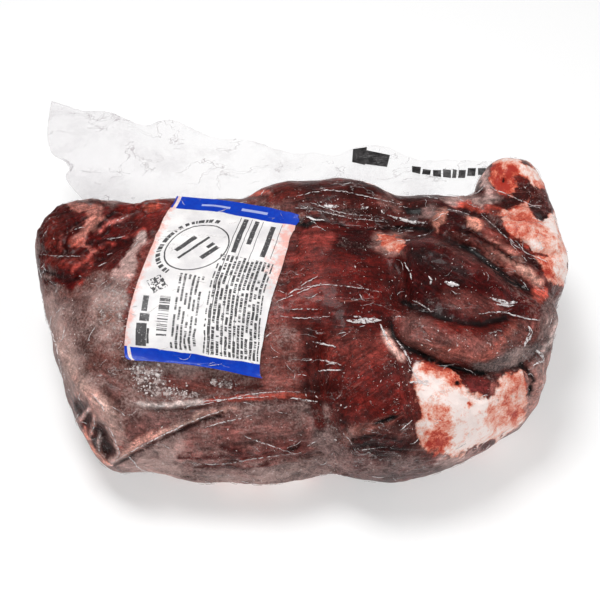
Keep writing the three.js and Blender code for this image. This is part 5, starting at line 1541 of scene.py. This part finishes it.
def shapeTailInk(tailTree):
    points, faces = [], []
    steps = 8
    for corners in tailInk["patch"] + tailInk["bars"]:
        a, b, c, d = (np.array(corner, float) for corner in corners)
        first = len(points)
        grid = []
        for j in range(steps + 1):
            for i in range(steps + 1):
                u, v = i / steps, j / steps
                pixel = (a * (1 - u) + b * u) * (1 - v) + (d * (1 - u) + c * u) * v
                origin, way = photoRay(pixel)
                on, normal, _, _ = tailTree.ray_cast(origin, way)
                grid.append(on - way * tailInk["lift"] if on is not None else None)
        depths = [(point - Vector(pictureAxes()[0])).length for point in grid if point is not None]
        for k, point in enumerate(grid):
            if point is None:
                u, v = k % (steps + 1) / steps, k // (steps + 1) / steps
                pixel = (a * (1 - u) + b * u) * (1 - v) + (d * (1 - u) + c * u) * v
                origin, way = photoRay(pixel)
                point = origin + way * (sum(depths) / max(len(depths), 1) if depths else 0.9)
            points.append(point)
        for j in range(steps):
            for i in range(steps):
                at = first + j * (steps + 1) + i
                faces.append((at, at + steps + 1, at + steps + 2, at + 1))
    mesh = bpy.data.meshes.new("bagPrint")
    mesh.from_pydata(points, [], faces)
    piece = bpy.data.objects.new("bagPrint", mesh)
    bpy.context.scene.collection.objects.link(piece)
    return piece


def makeInkMaterial():
    material, tree, shader = newMaterial("blackInk")
    place = addNode(tree, "ShaderNodeTexCoord").outputs["Object"]
    worn = addRange(tree, addNoise(tree, place, 260.0, 5.0, 0.7), 0.35, 0.75)
    tree.links.new(addMix(tree, worn, shade((20, 18, 19)), shade((64, 60, 61))), shader.inputs["Base Color"])
    shader.inputs["Roughness"].default_value = 0.3
    bump = addNode(tree, "ShaderNodeBump", {"Strength": 0.5, "Distance": 0.0006, "Height": worn})
    tree.links.new(bump.outputs[0], shader.inputs["Normal"])
    return material


# Plain pale floor and soft studio light
studio = {
    "floorSize": 6.0,
    "floorAt": (0.0, 0.0, -0.0004),
    "floorColour": (206, 206, 206),
    "floorGlow": 0.4,
    "world": 0.1,
    "backdrop": 1.0,
    "lights": {
        "keyLight": {"at": (-0.25, 0.2, 1.3), "size": 0.45, "power": 14.0},
        "fillLight": {"at": (0.7, -0.9, 0.75), "size": 0.7, "power": 4.2},
        "frontLight": {"at": (-0.5, -1.1, 0.6), "size": 0.7, "power": 3.2},
        "rightLight": {"at": (1.2, 0.1, 0.6), "size": 0.9, "power": 4.0},
    },
}


def addStudio():
    bpy.ops.object.select_all(action="DESELECT")
    bpy.ops.mesh.primitive_plane_add(size=studio["floorSize"], location=studio["floorAt"])
    floor = bpy.context.object
    floor.name = "paleFloor"
    material, tree, shader = newMaterial("paleFloor")
    shader.inputs["Base Color"].default_value = shade(studio["floorColour"])
    place = addNode(tree, "ShaderNodeTexCoord").outputs["Object"]
    away = addNode(tree, "ShaderNodeVectorMath", {0: place}, operation="LENGTH").outputs["Value"]
    near = (studio["floorGlow"],) * 3 + (1.0,)
    glow = addMix(tree, addRange(tree, away, 0.5, 1.7), near, (1.0, 1.0, 1.0, 1.0))
    tree.links.new(glow, shader.inputs["Emission Color"])
    shader.inputs["Emission Strength"].default_value = 1.0
    shader.inputs["Roughness"].default_value = 0.85
    floor.data.materials.append(material)
    middle = Vector((0, -0.03, 0.05))
    for name, light in studio["lights"].items():
        bpy.ops.object.light_add(type="AREA", location=light["at"])
        lamp = bpy.context.object
        lamp.name = name
        lamp.data.size = light["size"]
        lamp.data.energy = light["power"]
        lamp.rotation_euler = (middle - Vector(light["at"])).to_track_quat("-Z", "Y").to_euler()
    world = bpy.data.worlds.new("softRoom")
    world.use_nodes = True
    world.node_tree.nodes["Background"].inputs[0].default_value = (1.0, 1.0, 1.0, 1.0)
    # the camera sees a white backdrop, which lights the meat only a little
    seenByCamera = addNode(world.node_tree, "ShaderNodeLightPath").outputs["Is Camera Ray"]
    strength = addRange(world.node_tree, seenByCamera, 0.0, 1.0, studio["world"], studio["backdrop"], smooth=False)
    world.node_tree.links.new(strength, world.node_tree.nodes["Background"].inputs[1])
    bpy.context.scene.world = world
    bpy.context.scene.view_settings.view_transform = "Standard"


bpy.ops.object.select_all(action="DESELECT")
addCamera()
meat = shapeMeat()
paintMeat(meat)
meatTree = treeOf(meat)
finishPiece(meat, "packed_meat", makeMeatMaterial(), "meat")
print("meat done:", len(meat.data.polygons), "faces")
label = shapeLabel(meatTree)
finishPiece(label, "paper_label", makeLabelMaterial(), "label")
print("label done")
film = shapeFilm(meat, label)
filmTree = treeOf(film)
finishPiece(film, "clear_film", makeFilmMaterial("clingingFilm", 0.0, 0.02, 26.0), "meat")
print("film done:", len(film.data.polygons), "faces")
creases = shapePleats(filmTree, film)
finishPiece(creases, "clear_film", makePleatMaterial())
crumbs = shapeCrumbs(meatTree, meat)
finishPiece(crumbs, "packed_meat", makeCrumbMaterial())
print("creases and crumbs done:", len(creases.data.polygons), len(crumbs.data.polygons), "faces")
tail = shapeTail(meatTree)
tailTree = treeOf(tail)
finishPiece(tail, "clear_film", makeTailMaterial(), "bag_tail")
ink = shapeTailInk(tailTree)
finishPiece(ink, "clear_film", makeInkMaterial())
print("spare bag done")
addStudio()
